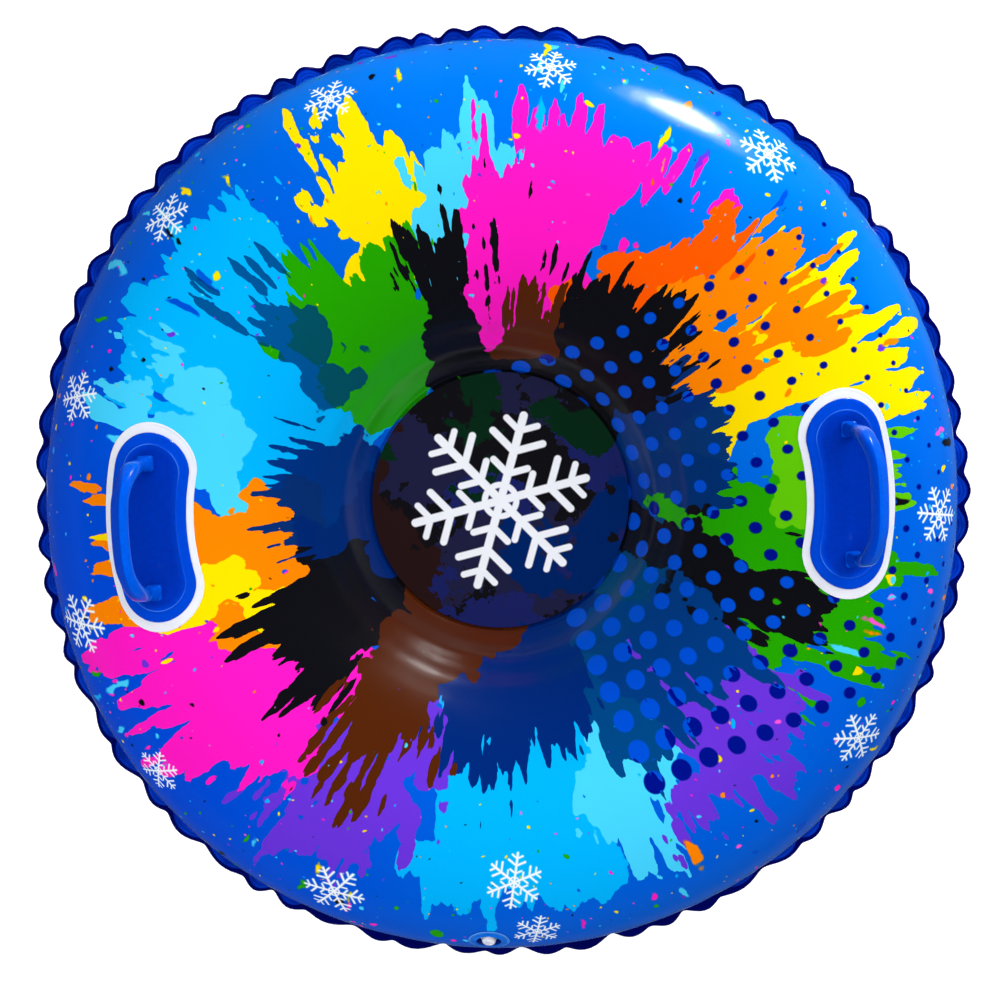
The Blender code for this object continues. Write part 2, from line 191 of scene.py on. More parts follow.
def off_bean(x, y):
    """How far outside either border patch a plan point lies."""
    x = np.abs(x) - (BEAN_MID - BEAN_BEND)
    turn = np.arctan2(y, x)
    along = np.abs(turn) * BEAN_BEND
    across = np.hypot(x, y) - BEAN_BEND
    past = np.maximum(along - BORDER_ARC, 0)
    return np.hypot(past, across) - BORDER_HALF_W


VALVE_S = float(np.interp(VALVE_TILT, SLOPE, LENGTH))
VALVE_R = float(np.interp(VALVE_TILT, SLOPE, RADIUS))


def off_valve(s):
    """Distance from the valve's middle along the sheet, for one row."""
    turn = (theta - VALVE_AZIMUTH + math.pi) % (2 * math.pi) - math.pi
    r = np.interp(min(s, TOTAL), LENGTH, RADIUS)
    return np.hypot(turn * r, s - VALVE_S)


def row_shape(s, sign, outer=True):
    """For one row of a skin: how far it's pushed off the smooth sheet, and lifted. sign is +1 on the top skin, -1 below."""
    p = TOTAL - s
    slope, r, z = at_length(s)
    seam_r = -0.0019 * depth * (1 - lobe) + 0.0009 * height * lobe
    push = seam_r * math.exp(-p / 0.017) + OVAL * math.exp(-p / 0.09)
    crease = np.exp(-((near / (0.0020 + 0.08 * p)) ** 2)) * np.exp(-p / (0.014 * long_crease))
    push = push - 0.0014 * depth * crease
    push = push + 0.0005 * (lobe - 0.5) * math.exp(-p / 0.045)
    calm = smooth_step((off_bean(r * COS, r * SIN) - 0.004) / 0.028) if sign > 0 else np.ones(COLUMNS)
    if sign > 0:
        calm = calm * smooth_step((off_valve(s) - 0.024) / 0.02)
    inner = math.exp(-s / 0.020)
    soft = 0.00042 * ripple(3.1, 3.2, 5.0, s) + 0.00022 * ripple(8.7, 9.0, 14.0, s)
    soft = soft + 0.00022 * math.exp(-p / 0.10) * ripple(5.3, 26.0, 7.0, s)
    soft = soft + 0.00030 * inner * ripple(1.9, 14.0, 9.0, s) * smooth_step(s / 0.004)
    bead = 0.00042 * math.exp(-(((s - 0.0052) / 0.0012) ** 2)) - 0.00020 * math.exp(-(((s - 0.0085) / 0.0016) ** 2))
    if outer:  # shallow rings that the inner weld presses into the slope
        rings = np.cos(2 * math.pi * (s - 0.006) / 0.037 + 1.3 * ripple(2.2, 1.1, 1.0, s)) * (1 - smooth_step((s - 0.045) / 0.075))
        soft = soft + 0.00090 * rings * (0.80 + 0.8 * ripple(6.6, 1.7, 2.0, s)) * (1.0 if sign > 0 else 0.4)
    push = (push + soft * smooth_step(s / 0.004)) * (calm if p > 0.03 else 1.0) + bead
    lift = 0.0026 * wave * math.exp(-p / 0.016)
    return push, lift


def flange_row(q):
    """The welded flange's middle surface at q outside the seam: radius and height, by column."""
    t = q / FLANGE
    seam_r = OVAL - 0.0019 * depth * (1 - lobe) + 0.0009 * height * lobe
    edge_r = OVAL - 0.0031 * depth * (1 - lobe) + 0.0037 * height * lobe
    rib = 0.00030 * math.sin(2 * math.pi * (q - 0.0008) / 0.0030) * smooth_step(np.array((0.0096 - q) / 0.001)) * smooth_step(np.array(q / 0.001))
    r = R_BODY + q + seam_r * (1 - t) + edge_r * t
    z = wave * (0.0026 + 0.0046 * t**1.2) - 0.0016 * curled * lobe * t * t + rib * (0.35 + 0.65 * lobe)
    return r, z


def skin(name, sign, wall, rows_body, rows_inside):
    """One welded skin as a thin closed shell. sign +1 is the top sheet, -1 the base sheet."""
    mid = SEAM_Z + sign * GAP / 2
    verts, flats, hems = [], [], []
    rim = flange_row(FLANGE)[0]

    def add(r, z, flat_r):
        ring = len(verts)
        verts.append(np.stack([r * COS, r * SIN, z * np.ones(COLUMNS)], 1))
        flats.append(np.stack([flat_r * COS, flat_r * SIN, np.full(COLUMNS, flat_r)], 1))
        on_flange = flat_r > R_WELD + TOTAL + 0.0002
        # in the valleys the distance is cut, which widens the navy hem there as painted shade
        hems.append((rim - r) * np.ones(COLUMNS) - 0.0036 * (1 - lobe) ** 2 if on_flange else np.full(COLUMNS, 0.03))
        return ring

    def body_row(s, outer):
        slope, r, z = at_length(s)
        z = float(z)
        if sign < 0:
            z = min(z, HEIGHT - FLAT - 0.0001 * max(0.0, 1 - abs(r - CREST) / 0.02))
        push, lift = row_shape(s, sign, outer)
        if sign < 0:
            rest = smooth_step(np.array((abs(r - CREST) - 0.022) / 0.03))
            push = push * rest
        d = push + (wall if outer else -0.00002 - 0.0014 * float(smooth_step(np.array((TOTAL - s - 0.09) / 0.05)) * smooth_step(np.array((s - 0.006) / 0.024))))
        return r + d * math.sin(slope), mid + sign * (z + d * math.cos(slope)) + lift, R_WELD + s

    # outside, from the land under the seat to the free edge of the flange
    add(R_LAND, mid + sign * wall, R_LAND)
    add(0.5 * (R_LAND + R_WELD), mid + sign * wall, 0.5 * (R_LAND + R_WELD))
    add(R_WELD - wall * 0.4, mid + sign * wall, R_WELD)
    for s in rows_body:
        add(*body_row(s, True))
    q_rows = [0.0006, 0.0014, 0.0022, 0.0030, 0.0038, 0.0046, 0.0054, 0.0062, 0.0070, 0.0080, 0.0090, 0.0100, 0.0112, 0.0122, 0.0130]
    if sign < 0:
        q_rows = q_rows[::2]
    for q in q_rows:
        r, z = flange_row(q)
        t = wall if q < 0.0126 else wall * 0.55
        add(r, SEAM_Z + z + sign * (0.00005 + t), R_WELD + TOTAL + q)
    r, z = flange_row(FLANGE)
    add(r + 0.00025, SEAM_Z + z + sign * (0.00005 + wall * 0.25), R_WELD + TOTAL + FLANGE)
    # the air side, back to the land
    for q in q_rows[::-3]:
        r, z = flange_row(q)
        add(r, SEAM_Z + z + sign * 0.00004, R_WELD + TOTAL + q)
    for s in rows_inside:
        add(*body_row(s, False))
    add(R_LAND, mid + sign * 0.00002, R_LAND)

    rings = len(verts)
    co = np.concatenate(verts).astype(np.float32)
    flat = np.concatenate(flats).astype(np.float32)
    ring = np.arange(COLUMNS)
    nxt = (ring + 1) % COLUMNS
    faces = []
    for a in range(rings):
        b = (a + 1) % rings
        quad = np.stack([a * COLUMNS + ring, b * COLUMNS + ring, b * COLUMNS + nxt, a * COLUMNS + nxt], 1)
        faces.append(quad if sign > 0 else quad[:, ::-1])
    faces = np.concatenate(faces)
    mesh = bpy.data.meshes.new(name)
    mesh.vertices.add(len(co))
    mesh.vertices.foreach_set("co", co.ravel())
    mesh.loops.add(faces.size)
    mesh.loops.foreach_set("vertex_index", faces.ravel().astype(np.int32))
    mesh.polygons.add(len(faces))
    mesh.polygons.foreach_set("loop_start", np.arange(0, faces.size, 4, dtype=np.int32))
    mesh.update(calc_edges=True)
    layer = mesh.attributes.new("sheet", "FLOAT_VECTOR", "POINT")
    layer.data.foreach_set("vector", flat.ravel())
    hem = mesh.attributes.new("hem", "FLOAT", "POINT")  # distance from the free edge, less in the valleys so that the navy hem paints shade into them
    hem.data.foreach_set("value", np.concatenate(hems).astype(np.float32))
    mesh.shade_smooth()
    mesh.validate()
    return bpy.data.objects.new(name, mesh)


body_fine = [0.0, 0.0010, 0.0022, 0.0034, 0.0044, 0.0052, 0.0060, 0.0070, 0.0082, 0.0095, 0.0120, 0.0160, 0.0215, 0.0290]
body_fine += [0.034, 0.039, 0.0457, 0.0524, 0.0591, 0.0658, 0.0725, 0.0792, 0.0859, 0.0926, 0.0993] + [0.106 + 0.0134 * i for i in range(19)]
body_fine += [TOTAL - p for p in (0.091, 0.082, 0.073, 0.065, 0.057, 0.050, 0.0435, 0.0375, 0.032, 0.027, 0.0225, 0.0185, 0.015, 0.012, 0.0092, 0.0068, 0.0047, 0.003, 0.0015, 0.0004)]
inside_rows = [TOTAL - p for p in (0.0004, 0.0068, 0.0145, 0.026, 0.043, 0.065, 0.090)] + body_fine[-22:20:-4] + [0.085, 0.062, 0.042, 0.026, 0.0120, 0.0]

linked = bpy.context.scene.collection.objects.link
top_skin = skin("top_skin", 1, T_TOP, body_fine, inside_rows)
base_skin = skin("base_skin", -1, T_BOTTOM, body_fine[:10:3] + body_fine[10::1], inside_rows)
linked(top_skin)
linked(base_skin)


# ---------------------------------------------------------------- the hole in the top skin under the valve
outward = Vector((math.cos(VALVE_AZIMUTH), math.sin(VALVE_AZIMUTH), 0))
NORMAL = outward * math.sin(VALVE_TILT) + Vector((0, 0, 1)) * math.cos(VALVE_TILT)
DOWN = outward * math.cos(VALVE_TILT) - Vector((0, 0, 1)) * math.sin(VALVE_TILT)
AROUND = NORMAL.cross(DOWN)
VALVE_AT = surface(VALVE_R, VALVE_AZIMUTH, 0.0)
VALVE_FRAME = Matrix.Translation(VALVE_AT) @ Matrix((DOWN, AROUND, NORMAL)).transposed().to_4x4()


def open_under_valve(obj, radius):
    bm = bmesh.new()
    bm.from_mesh(obj.data)
    inverse = VALVE_FRAME.inverted()
    gone = []
    for face in bm.faces:
        c = inverse @ face.calc_center_median()
        if abs(c.z) < 0.03 and math.hypot(c.x, c.y) < radius:
            gone.append(face)
    bmesh.ops.delete(bm, geom=gone, context="FACES")
    rim_edges = [e for e in bm.edges if e.is_boundary]
    for v in {v for e in rim_edges for v in e.verts}:  # round the ragged edge
        c = inverse @ v.co
        r = math.hypot(c.x, c.y)
        c.x, c.y = c.x / r * (radius + 0.0008), c.y / r * (radius + 0.0008)
        v.co = VALVE_FRAME @ c
    bmesh.ops.bridge_loops(bm, edges=rim_edges)
    bm.to_mesh(obj.data)
    bm.free()
    obj.data.shade_smooth()


open_under_valve(top_skin, 0.0150)


# ---------------------------------------------------------------- seat panel
def seat_disc():
    rings, count = [0.0], 144
    r = 0.008
    while r < R_SEAT - 0.012:
        rings.append(r)
        r += 0.008
    rings += [R_SEAT - 0.0095, R_SEAT - 0.0070, R_SEAT - 0.0050, R_SEAT - 0.0032, R_SEAT - 0.0018, R_SEAT - 0.0007, R_SEAT - 0.0001]
    base = SEAM_Z + GAP / 2 + T_TOP + GAP
    bm = bmesh.new()
    sheet = bm.verts.layers.float_vector.new("sheet")

    def height_at(x, y, r):
        inner = 1 - float(smooth_step(np.array((r - R_SEAT + 0.016) / 0.008)))
        a = math.atan2(y, x)
        sag = -0.0011 * inner * (1 - (r / R_SEAT) ** 2)
        wrinkle = 0.00050 * noise.noise(Vector((x * 17, y * 17, 4.0))) + 0.00022 * noise.noise(Vector((x * 48, y * 48, 9.0)))
        star = 0.00034 * noise.noise(Vector((math.cos(a) * 6.5, math.sin(a) * 6.5, r * 8))) * (r / R_SEAT) ** 2
        weld = -0.00022 * math.exp(-(((r - R_SEAT + 0.0050) / 0.0011) ** 2)) - 0.00018 * math.exp(-(((r - R_SEAT + 0.0023) / 0.0009) ** 2))
        return sag + (wrinkle + star) * inner + weld

    loops = {}
    for side, offset in (("top", T_SEAT), ("under", 0.0)):
        loops[side] = []
        for r in rings:
            ring = []
            for i in range(count if r else 1):
                a = 2 * math.pi * i / count
                x, y = r * math.cos(a), r * math.sin(a)
                h = height_at(x, y, r) * (1.0 if side == "top" else 0.9)
                if r > R_SEAT - 0.0005:
                    h += -0.00018 if side == "top" else 0.00018
                v = bm.verts.new((x, y, base + offset + h))
                v[sheet] = Vector((x, y, r))
                ring.append(v)
            loops[side].append(ring)
    for side in loops:
        for a, b in zip(loops[side], loops[side][1:]):
            for i in range(count):
                j = (i + 1) % count
                if len(a) == 1:
                    face = (a[0], b[i], b[j])
                else:
                    face = (a[i], b[i], b[j], a[j])
                bm.faces.new(face if side == "top" else face[::-1])
    for i in range(count):
        j = (i + 1) % count
        bm.faces.new((loops["top"][-1][i], loops["under"][-1][i], loops["under"][-1][j], loops["top"][-1][j]))
    mesh = bpy.data.meshes.new("seat_disc")
    bm.to_mesh(mesh)
    bm.free()
    mesh.shade_smooth()
    return bpy.data.objects.new("seat_disc", mesh)


seat = seat_disc()
linked(seat)


# ================================================================ node helpers
def lin(r, g, b):
    """An sRGB colour, 0 to 255, as linear values."""
    return tuple((c / 255 / 12.92) if c / 255 <= 0.04045 else ((c / 255 + 0.055) / 1.055) ** 2.4 for c in (r, g, b))


def ink(r, g, b):
    """A printing colour, 0 to 255, as it's mixed on the sheet: a power of 2.2 makes it linear."""
    return (r / 255, g / 255, b / 255)


class Val:
    """A number or colour in a node tree, with arithmetic that adds Math nodes."""

    def __init__(self, tree, socket):
        self.tree, self.socket = tree, socket

    def _do(self, op, other=0.0, third=None, swap=False):
        a, b = (other, self) if swap else (self, other)
        return self.tree.math(op, a, b, third)

    def __add__(self, o):
        return self._do("ADD", o)

    __radd__ = __add__

    def __sub__(self, o):
        return self._do("SUBTRACT", o)

    def __rsub__(self, o):
        return self._do("SUBTRACT", o, swap=True)

    def __mul__(self, o):
        return self._do("MULTIPLY", o)

    __rmul__ = __mul__

    def __truediv__(self, o):
        return self._do("DIVIDE", o)

    def __neg__(self):
        return self._do("MULTIPLY", -1.0)

    def below(self, o):
        return self._do("LESS_THAN", o)

    def above(self, o):
        return self._do("GREATER_THAN", o)

    def low(self, o):
        return self._do("MINIMUM", o)

    def high(self, o):
        return self._do("MAXIMUM", o)

    def power(self, o):
        return self._do("POWER", o)

    def size(self):
        return self._do("ABSOLUTE")

    def sin(self):
        return self._do("SINE")

    def cos(self):
        return self._do("COSINE")

    def wrap(self, top, bottom):
        return self._do("WRAP", top, bottom)

    def floor(self):
        return self._do("FLOOR")

    def fract(self):
        return self._do("FRACT")

    def ramp(self, a, b, c=0.0, d=1.0, smooth=True):
        """From c to d as this goes from a to b, and level beyond."""
        n = self.tree.new("ShaderNodeMapRange", interpolation_type="SMOOTHSTEP" if smooth else "LINEAR", clamp=True)
        for name, value in zip(("Value", "From Min", "From Max", "To Min", "To Max"), (self, a, b, c, d)):
            self.tree.put(n.inputs[name], value)
        return Val(self.tree, n.outputs["Result"])


class Paint:
    """A material and short ways to add its nodes."""

    def __init__(self, name):
        self.material = bpy.data.materials.new(name)
        self.material.use_nodes = True
        self.nodes, self.links = self.material.node_tree.nodes, self.material.node_tree.links
        self.shader = self.nodes["Principled BSDF"]

    def new(self, kind, **settings):
        n = self.nodes.new(kind)
        for key, value in settings.items():
            setattr(n, key, value)
        return n

    def put(self, socket, value):
        if isinstance(value, Val):
            self.links.new(value.socket, socket)
        elif isinstance(value, (tuple, list)) and len(value) == 3 and socket.type == "RGBA":
            socket.default_value = (*value, 1.0)
        else:
            socket.default_value = value

    def math(self, op, a, b=0.0, c=None):
        n = self.new("ShaderNodeMath", operation=op)
        self.put(n.inputs[0], a)
        self.put(n.inputs[1], b)
        if c is not None:
            self.put(n.inputs[2], c)
        return Val(self, n.outputs[0])

    def mix(self, factor, a, b, blend="MIX"):
        n = self.new("ShaderNodeMix", data_type="RGBA", blend_type=blend)
        self.put(n.inputs["Factor"], factor)
        self.put(n.inputs[6], a)
        self.put(n.inputs[7], b)
        return Val(self, n.outputs[2])

    def noise(self, vector, scale, detail=2.0, roughness=0.5, colour=False, distortion=0.0):
        n = self.new("ShaderNodeTexNoise", noise_dimensions="3D")
        self.put(n.inputs["Vector"], vector)
        self.put(n.inputs["Scale"], scale)
        self.put(n.inputs["Detail"], detail)
        self.put(n.inputs["Roughness"], roughness)
        self.put(n.inputs["Distortion"], distortion)
        return Val(self, n.outputs["Color" if colour else "Fac"])

    def cells(self, vector, scale, randomness=1.0, feature="F1", space="3D"):
        n = self.new("ShaderNodeTexVoronoi", voronoi_dimensions=space, feature=feature)
        self.put(n.inputs["Vector"], vector)
        self.put(n.inputs["Scale"], scale)
        self.put(n.inputs["Randomness"], randomness)
        return Val(self, n.outputs["Distance"]), Val(self, n.outputs["Color"])

    def split(self, vector):
        n = self.new("ShaderNodeSeparateXYZ")
        self.put(n.inputs[0], vector)
        return tuple(Val(self, n.outputs[i]) for i in range(3))

    def vector(self, x, y, z=0.0):
        n = self.new("ShaderNodeCombineXYZ")
        for socket, value in zip(n.inputs, (x, y, z)):
            self.put(socket, value)
        return Val(self, n.outputs[0])

    def length(self, x, y):
        return self.math("SQRT", x * x + y * y)

    def gamma(self, colour, power):
        n = self.new("ShaderNodeGamma")
        self.put(n.inputs["Color"], colour)
        self.put(n.inputs["Gamma"], power)
        return Val(self, n.outputs[0])

    def split_colour(self, colour):
        n = self.new("ShaderNodeSeparateColor")
        self.put(n.inputs[0], colour)
        return tuple(Val(self, n.outputs[i]) for i in range(3))

    def steps(self, factor, colours):
        """One of the colours, in equal steps of factor."""
        n = self.new("ShaderNodeValToRGB")
        ramp = n.color_ramp
        ramp.interpolation = "CONSTANT"
        while len(ramp.elements) < len(colours):
            ramp.elements.new(1.0)
        for i, colour in enumerate(colours):
            ramp.elements[i].position = i / len(colours)
            ramp.elements[i].color = (*colour, 1.0)
        self.put(n.inputs[0], factor)
        return Val(self, n.outputs[0])

    def attribute(self, name):
        n = self.new("ShaderNodeAttribute", attribute_name=name, attribute_type="GEOMETRY")
        return Val(self, n.outputs["Vector"])

    def place(self):
        return Val(self, self.new("ShaderNodeTexCoord").outputs["Object"])

    def bump(self, height, strength, distance, below=None):
        n = self.new("ShaderNodeBump")
        self.put(n.inputs["Strength"], strength)
        self.put(n.inputs["Distance"], distance)
        self.put(n.inputs["Height"], height)
        if below is not None:
            self.put(n.inputs["Normal"], below)
        return Val(self, n.outputs["Normal"])

    def finish(self, colour=None, roughness=None, normal=None, **constants):
        if colour is not None:
            self.put(self.shader.inputs["Base Color"], colour)
        if roughness is not None:
            self.put(self.shader.inputs["Roughness"], roughness)
        if normal is not None:
            self.put(self.shader.inputs["Normal"], normal)
        for key, value in constants.items():
            self.shader.inputs[key.replace("_", " ")].default_value = value
        return self.material


# ================================================================ the print
BLUE, AZURE, DEEP = ink(0, 95, 214), ink(0, 128, 240), ink(0, 71, 211)
CYAN, SKY = ink(6, 176, 250), ink(70, 208, 252)
GREEN, LEAF = ink(40, 160, 0), ink(96, 196, 16)
YELLOW, ORANGE, RED_ORANGE = ink(255, 222, 0), ink(255, 132, 0), ink(255, 88, 0)
MAGENTA, PINK, PURPLE = ink(255, 30, 192), ink(255, 84, 208), ink(104, 54, 214)
BLACK, NAVY, TEAL, BROWN = ink(22, 22, 26), ink(0, 44, 118), ink(0, 60, 120), ink(84, 40, 16)
DOT, ROYAL, WHITE = ink(0, 22, 134), ink(0, 78, 208), ink(247, 250, 255)


def snowflake(g, x, y, size, soft=0.024):
    """1 inside a six-armed snowflake of this radius around (x, y) = 0, with rounded strokes."""
    r = g.length(x, y) / size
    a = g.math("ARCTAN2", y, x)
    folded = a.wrap(math.pi / 6, -math.pi / 6).size()
    along, across = r * folded.cos(), r * folded.sin()
    inside = 0.044 - g.length((along - 0.95).high(0.0), across)
    for root, span, stroke in ((0.30, 0.22, 0.036), (0.55, 0.32, 0.039), (0.78, 0.20, 0.034)):
        past = along - root
        reach = past * 0.5 + across * 0.8660
        off = across * 0.5 - past * 0.8660
        inside = inside.high(stroke - g.length((reach - span).high(0.0), off))
    inside = inside.high(0.032 - (r - 0.17).size())
    return inside.ramp(-soft, soft, smooth=False)


def printed(g, flat):
    """The print's colour at a place on the flat sheet, flat = (x, y, distance from the middle) in metres; its blue
    ground also carries painted light.

    Its inks are mixed as printing colours, so that their edges stay clean, and made linear at the end."""
    x, y, rho = g.split(flat)
    plane = g.vector(x, y, 0.0)
    angle = g.math("ARCTAN2", y, x)
    east, north = angle.cos(), angle.sin()
    wobble = [c - 0.5 for c in g.split_colour(g.noise(plane, 7.5, 2.0, 0.5, colour=True))]
    bend = [c - 0.5 for c in g.split_colour(g.noise(plane, 42.0, 2.0, 0.5, colour=True))]
    bent_x, bent_y = x + bend[0] * 0.016, y + bend[1] * 0.016

    # fields of rounded lumps, coarse and fine, and of long drops pointing outwards
    lumps, drips = [], []
    for k in range(3):
        coarse = g.cells(g.vector(bent_x, bent_y, 0.031 * k), 17.0)[0]
        small = g.cells(g.vector(bent_x, bent_y, 0.017 * k + 0.2), 52.0)[0]
        tiny = g.cells(g.vector(bent_x, bent_y, 0.011 * k + 0.4), 120.0)[0]
        lumps.append((coarse - 0.45) * 0.058 + (small - 0.45) * 0.020 + (tiny - 0.45) * 0.006)
        long = g.cells(g.vector(east * 25.0 + bend[1] * 0.5, north * 25.0 + bend[2] * 0.5, rho * 9.0 + 3.0 * k), 1.0)[0]
        thin = g.cells(g.vector(east * 56.0 + bend[1], north * 56.0 + bend[2], rho * 13.0 + 5.0 * k), 1.0)[0]
        drips.append((long - 0.50) * 0.085 + (thin - 0.50) * 0.026)
    leaning = angle + (rho - 0.3) * 0.7 + wobble[2] * 0.45

    shade = g.noise(plane, 3.2, 1.0)
    # painted light: the blue ground runs from deep at the bottom left to azure at the top right, partly the print's own
    # blues and partly painted light from the key light's side
    side = x * 1.15 + y * 0.95 + (y * y - x * x) * 0.9
    ground = g.mix(side.ramp(-0.95, -0.10), DEEP, BLUE)
    ground = g.mix(side.ramp(-0.10, 0.80), ground, AZURE)
    colour = g.mix(shade.ramp(0.35, 0.65, 0.0, 0.25), ground, DEEP)

    def splash(colour, middle, width, start, end, paint, k=0, drip=1.0, rag=1.0, cover=1.0):
        """A splash of paint: middle angle in degrees, half width, and where it starts and ends along the sheet."""
        turn = (leaning - math.radians(middle)).wrap(math.pi, -math.pi).size()
        across = (turn * rho - (width - 0.04)).high(0.0)
        along = ((rho - (start + end) / 2).size() - ((end - start) / 2 - 0.04)).high(0.0)
        d = g.length(across, along) - 0.04
        outer = rho.ramp((start + end) / 2, end - 0.01, 0.0, drip)
        d = d + wobble[k] * 0.11 + lumps[k] * rag + drips[(k + 1) % 3] * outer
        return g.mix(d.ramp(0.0008, -0.0008, 0.0, cover, smooth=False), colour, paint)

    for middle, width, start, end, paint, k, drip, rag, cover in (
        (-84, 0.120, 0.20, 0.455, CYAN, 0, 1.0, 1.0, 1.0),
        (-62, 0.060, 0.24, 0.430, SKY, 1, 1.2, 1.1, 1.0),
        (148, 0.125, 0.13, 0.470, CYAN, 1, 1.0, 1.0, 1.0),
        (164, 0.050, 0.30, 0.450, SKY, 2, 1.2, 1.2, 1.0),
        (112, 0.065, 0.26, 0.445, YELLOW, 2, 1.3, 1.2, 1.0),
        (96, 0.070, 0.20, 0.450, SKY, 2, 1.3, 1.2, 1.0),
        (78, 0.105, 0.13, 0.440, MAGENTA, 0, 1.2, 1.0, 1.0),
        (27, 0.100, 0.13, 0.470, YELLOW, 1, 1.4, 1.1, 1.0),
        (41, 0.088, 0.13, 0.425, ORANGE, 2, 1.2, 1.1, 1.0),
        (56, 0.050, 0.20, 0.385, RED_ORANGE, 0, 1.1, 1.2, 1.0),
        (-14, 0.105, 0.13, 0.450, GREEN, 2, 1.3, 1.0, 1.0),
        (5, 0.050, 0.30, 0.445, LEAF, 0, 1.4, 1.3, 1.0),
        (-42, 0.085, 0.20, 0.440, PURPLE, 1, 1.4, 1.2, 1.0),
        (-118, 0.075, 0.22, 0.445, PURPLE, 0, 1.4, 1.3, 1.0),
        (-148, 0.115, 0.20, 0.465, MAGENTA, 2, 1.3, 1.0, 1.0),
        (-172, 0.080, 0.20, 0.440, ORANGE, 1, 1.2, 1.1, 1.0),
        (-166, 0.040, 0.26, 0.400, YELLOW, 0, 1.2, 1.3, 1.0),
        (121, 0.080, 0.13, 0.355, GREEN, 1, 1.0, 1.2, 1.0),
    ):
        colour = splash(colour, middle, width, start, end, paint, k, drip, rag, cover)

    # darker patches round the seat, some of them thin enough for the colours to show through
    for middle, width, start, end, paint, k, drip, rag, cover in (
        (-48, 0.120, 0.09, 0.350, TEAL, 2, 1.0, 1.1, 0.93),
        (-92, 0.085, 0.09, 0.300, NAVY, 0, 1.0, 1.1, 1.0),
        (14, 0.080, 0.09, 0.285, NAVY, 1, 1.0, 1.1, 0.94),
        (-152, 0.100, 0.09, 0.320, BLACK, 1, 1.2, 1.1, 1.0),
        (-122, 0.065, 0.09, 0.350, BROWN, 2, 1.3, 1.2, 1.0),
        (70, 0.070, 0.09, 0.250, BROWN, 0, 1.0, 1.2, 1.0),
        (50, 0.075, 0.09, 0.300, BLACK, 2, 1.3, 1.1, 1.0),
        (170, 0.070, 0.09, 0.270, NAVY, 0, 1.0, 1.2, 0.94),
        (-22, 0.040, 0.12, 0.390, BLACK, 1, 1.5, 1.4, 1.0),
        (100, 0.050, 0.12, 0.330, BLACK, 0, 1.5, 1.3, 1.0),
        (136, 0.035, 0.20, 0.390, TEAL, 2, 1.5, 1.4, 0.8),
    ):
        colour = splash(colour, middle, width, start, end, paint, k, drip, rag, cover)

    # spatter: drops, and drops thrown outwards
    paints = [YELLOW, SKY, MAGENTA, GREEN, ORANGE, PURPLE, SKY, BLACK, CYAN, YELLOW, PINK, ROYAL]
    for scale, least, most, share, inner, outer, thrown in (
        (21.0, 0.05, 0.17, 0.20, 0.36, 0.53, False),
        (52.0, 0.06, 0.22, 0.14, 0.28, 0.54, False),
        (120.0, 0.08, 0.22, 0.08, 0.26, 0.545, False),
        (25.0, 0.08, 0.20, 1.00, 0.36, 0.530, True),
        (44.0, 0.09, 0.22, 0.80, 0.34, 0.545, True),
    ):
        if thrown:
            where = g.vector(east * 0.45 + bend[0] * 0.018, north * 0.45 + bend[1] * 0.018, rho * 0.26 + scale * 0.01)
        else:
            where = g.vector(x + bend[0] * 0.018, y + bend[1] * 0.018, 0.0)
        d, tint = g.cells(where, scale, space="3D" if thrown else "2D")
        a, b, c = g.split_colour(tint)
        size = a * a * (most - least) + least
        drop = (size - d).ramp(-0.0007 * scale, 0.0007 * scale, smooth=False)
        drop = drop * b.above(1 - share) * rho.above(c * 0.14 + inner) * rho.below(outer)
        colour = g.mix(drop, colour, g.steps((c * 7.0 + a * 3.0).fract(), paints))

    # halftone dots, fading in towards one side
    tilt = math.radians(24)
    gx = (x * math.cos(tilt) + y * math.sin(tilt)) / 0.0335
    gy = (y * math.cos(tilt) - x * math.sin(tilt)) / 0.0335
    fx, fy = gx.fract() - 0.5, gy.fract() - 0.5
    reach_dots = (gx.floor() + 0.5) * 0.0335
    grow = reach_dots.ramp(0.00, 0.44, 0.36, 0.08, smooth=False)
    dot = (grow - g.length(fx, fy)).ramp(-0.022, 0.022, smooth=False)
    row = (gy.floor() + 0.5) * 0.0335
    band = reach_dots.above(0.015) * reach_dots.below(0.46) * row.above(-0.36) * row.below(0.14)
    parts = g.split_colour(colour)
    dark = (parts[0] + parts[1]).below(0.30)
    colour = g.mix(dot * band * rho.above(0.12), colour, g.mix(dark, DOT, ROYAL))

    # snowflakes round the rim, one in each sector, and a few further in
    for count, radius, jitter, size, shown, turn0, seed in ((13.0, RIM_FLAKES, 0.022, 0.0275, 0.80, 0.205, 48.1), (8.0, INNER_FLAKES, 0.020, 0.0235, 0.30, 0.44, 31.7)):
        sector = (angle / (2 * math.pi) + 1.0 + turn0) * count
        cell = sector.floor()
        pick = g.new("ShaderNodeTexWhiteNoise", noise_dimensions="1D")
        g.put(pick.inputs["W"], cell + seed)
        r1, r2, r3 = g.split_colour(Val(g, pick.outputs["Color"]))
        middle = (cell + 0.5 + (r1 - 0.5) * 0.26) / count * (2 * math.pi) - 2 * math.pi * (1.0 + turn0)
        at_r = (r2 - 0.5) * jitter + radius
        dx, dy = x - middle.cos() * at_r, y - middle.sin() * at_r
        spin = r3 * 6.0
        fx = dx * spin.cos() + dy * spin.sin()
        fy = dy * spin.cos() - dx * spin.sin()
        flake = snowflake(g, fx, fy, r3 * 0.010 + size)
        seen = (r1 * 5.0 + r2 * 3.0).fract().below(shown)
        colour = g.mix(flake * seen, colour, WHITE)
    return g.gamma(colour, 2.2)


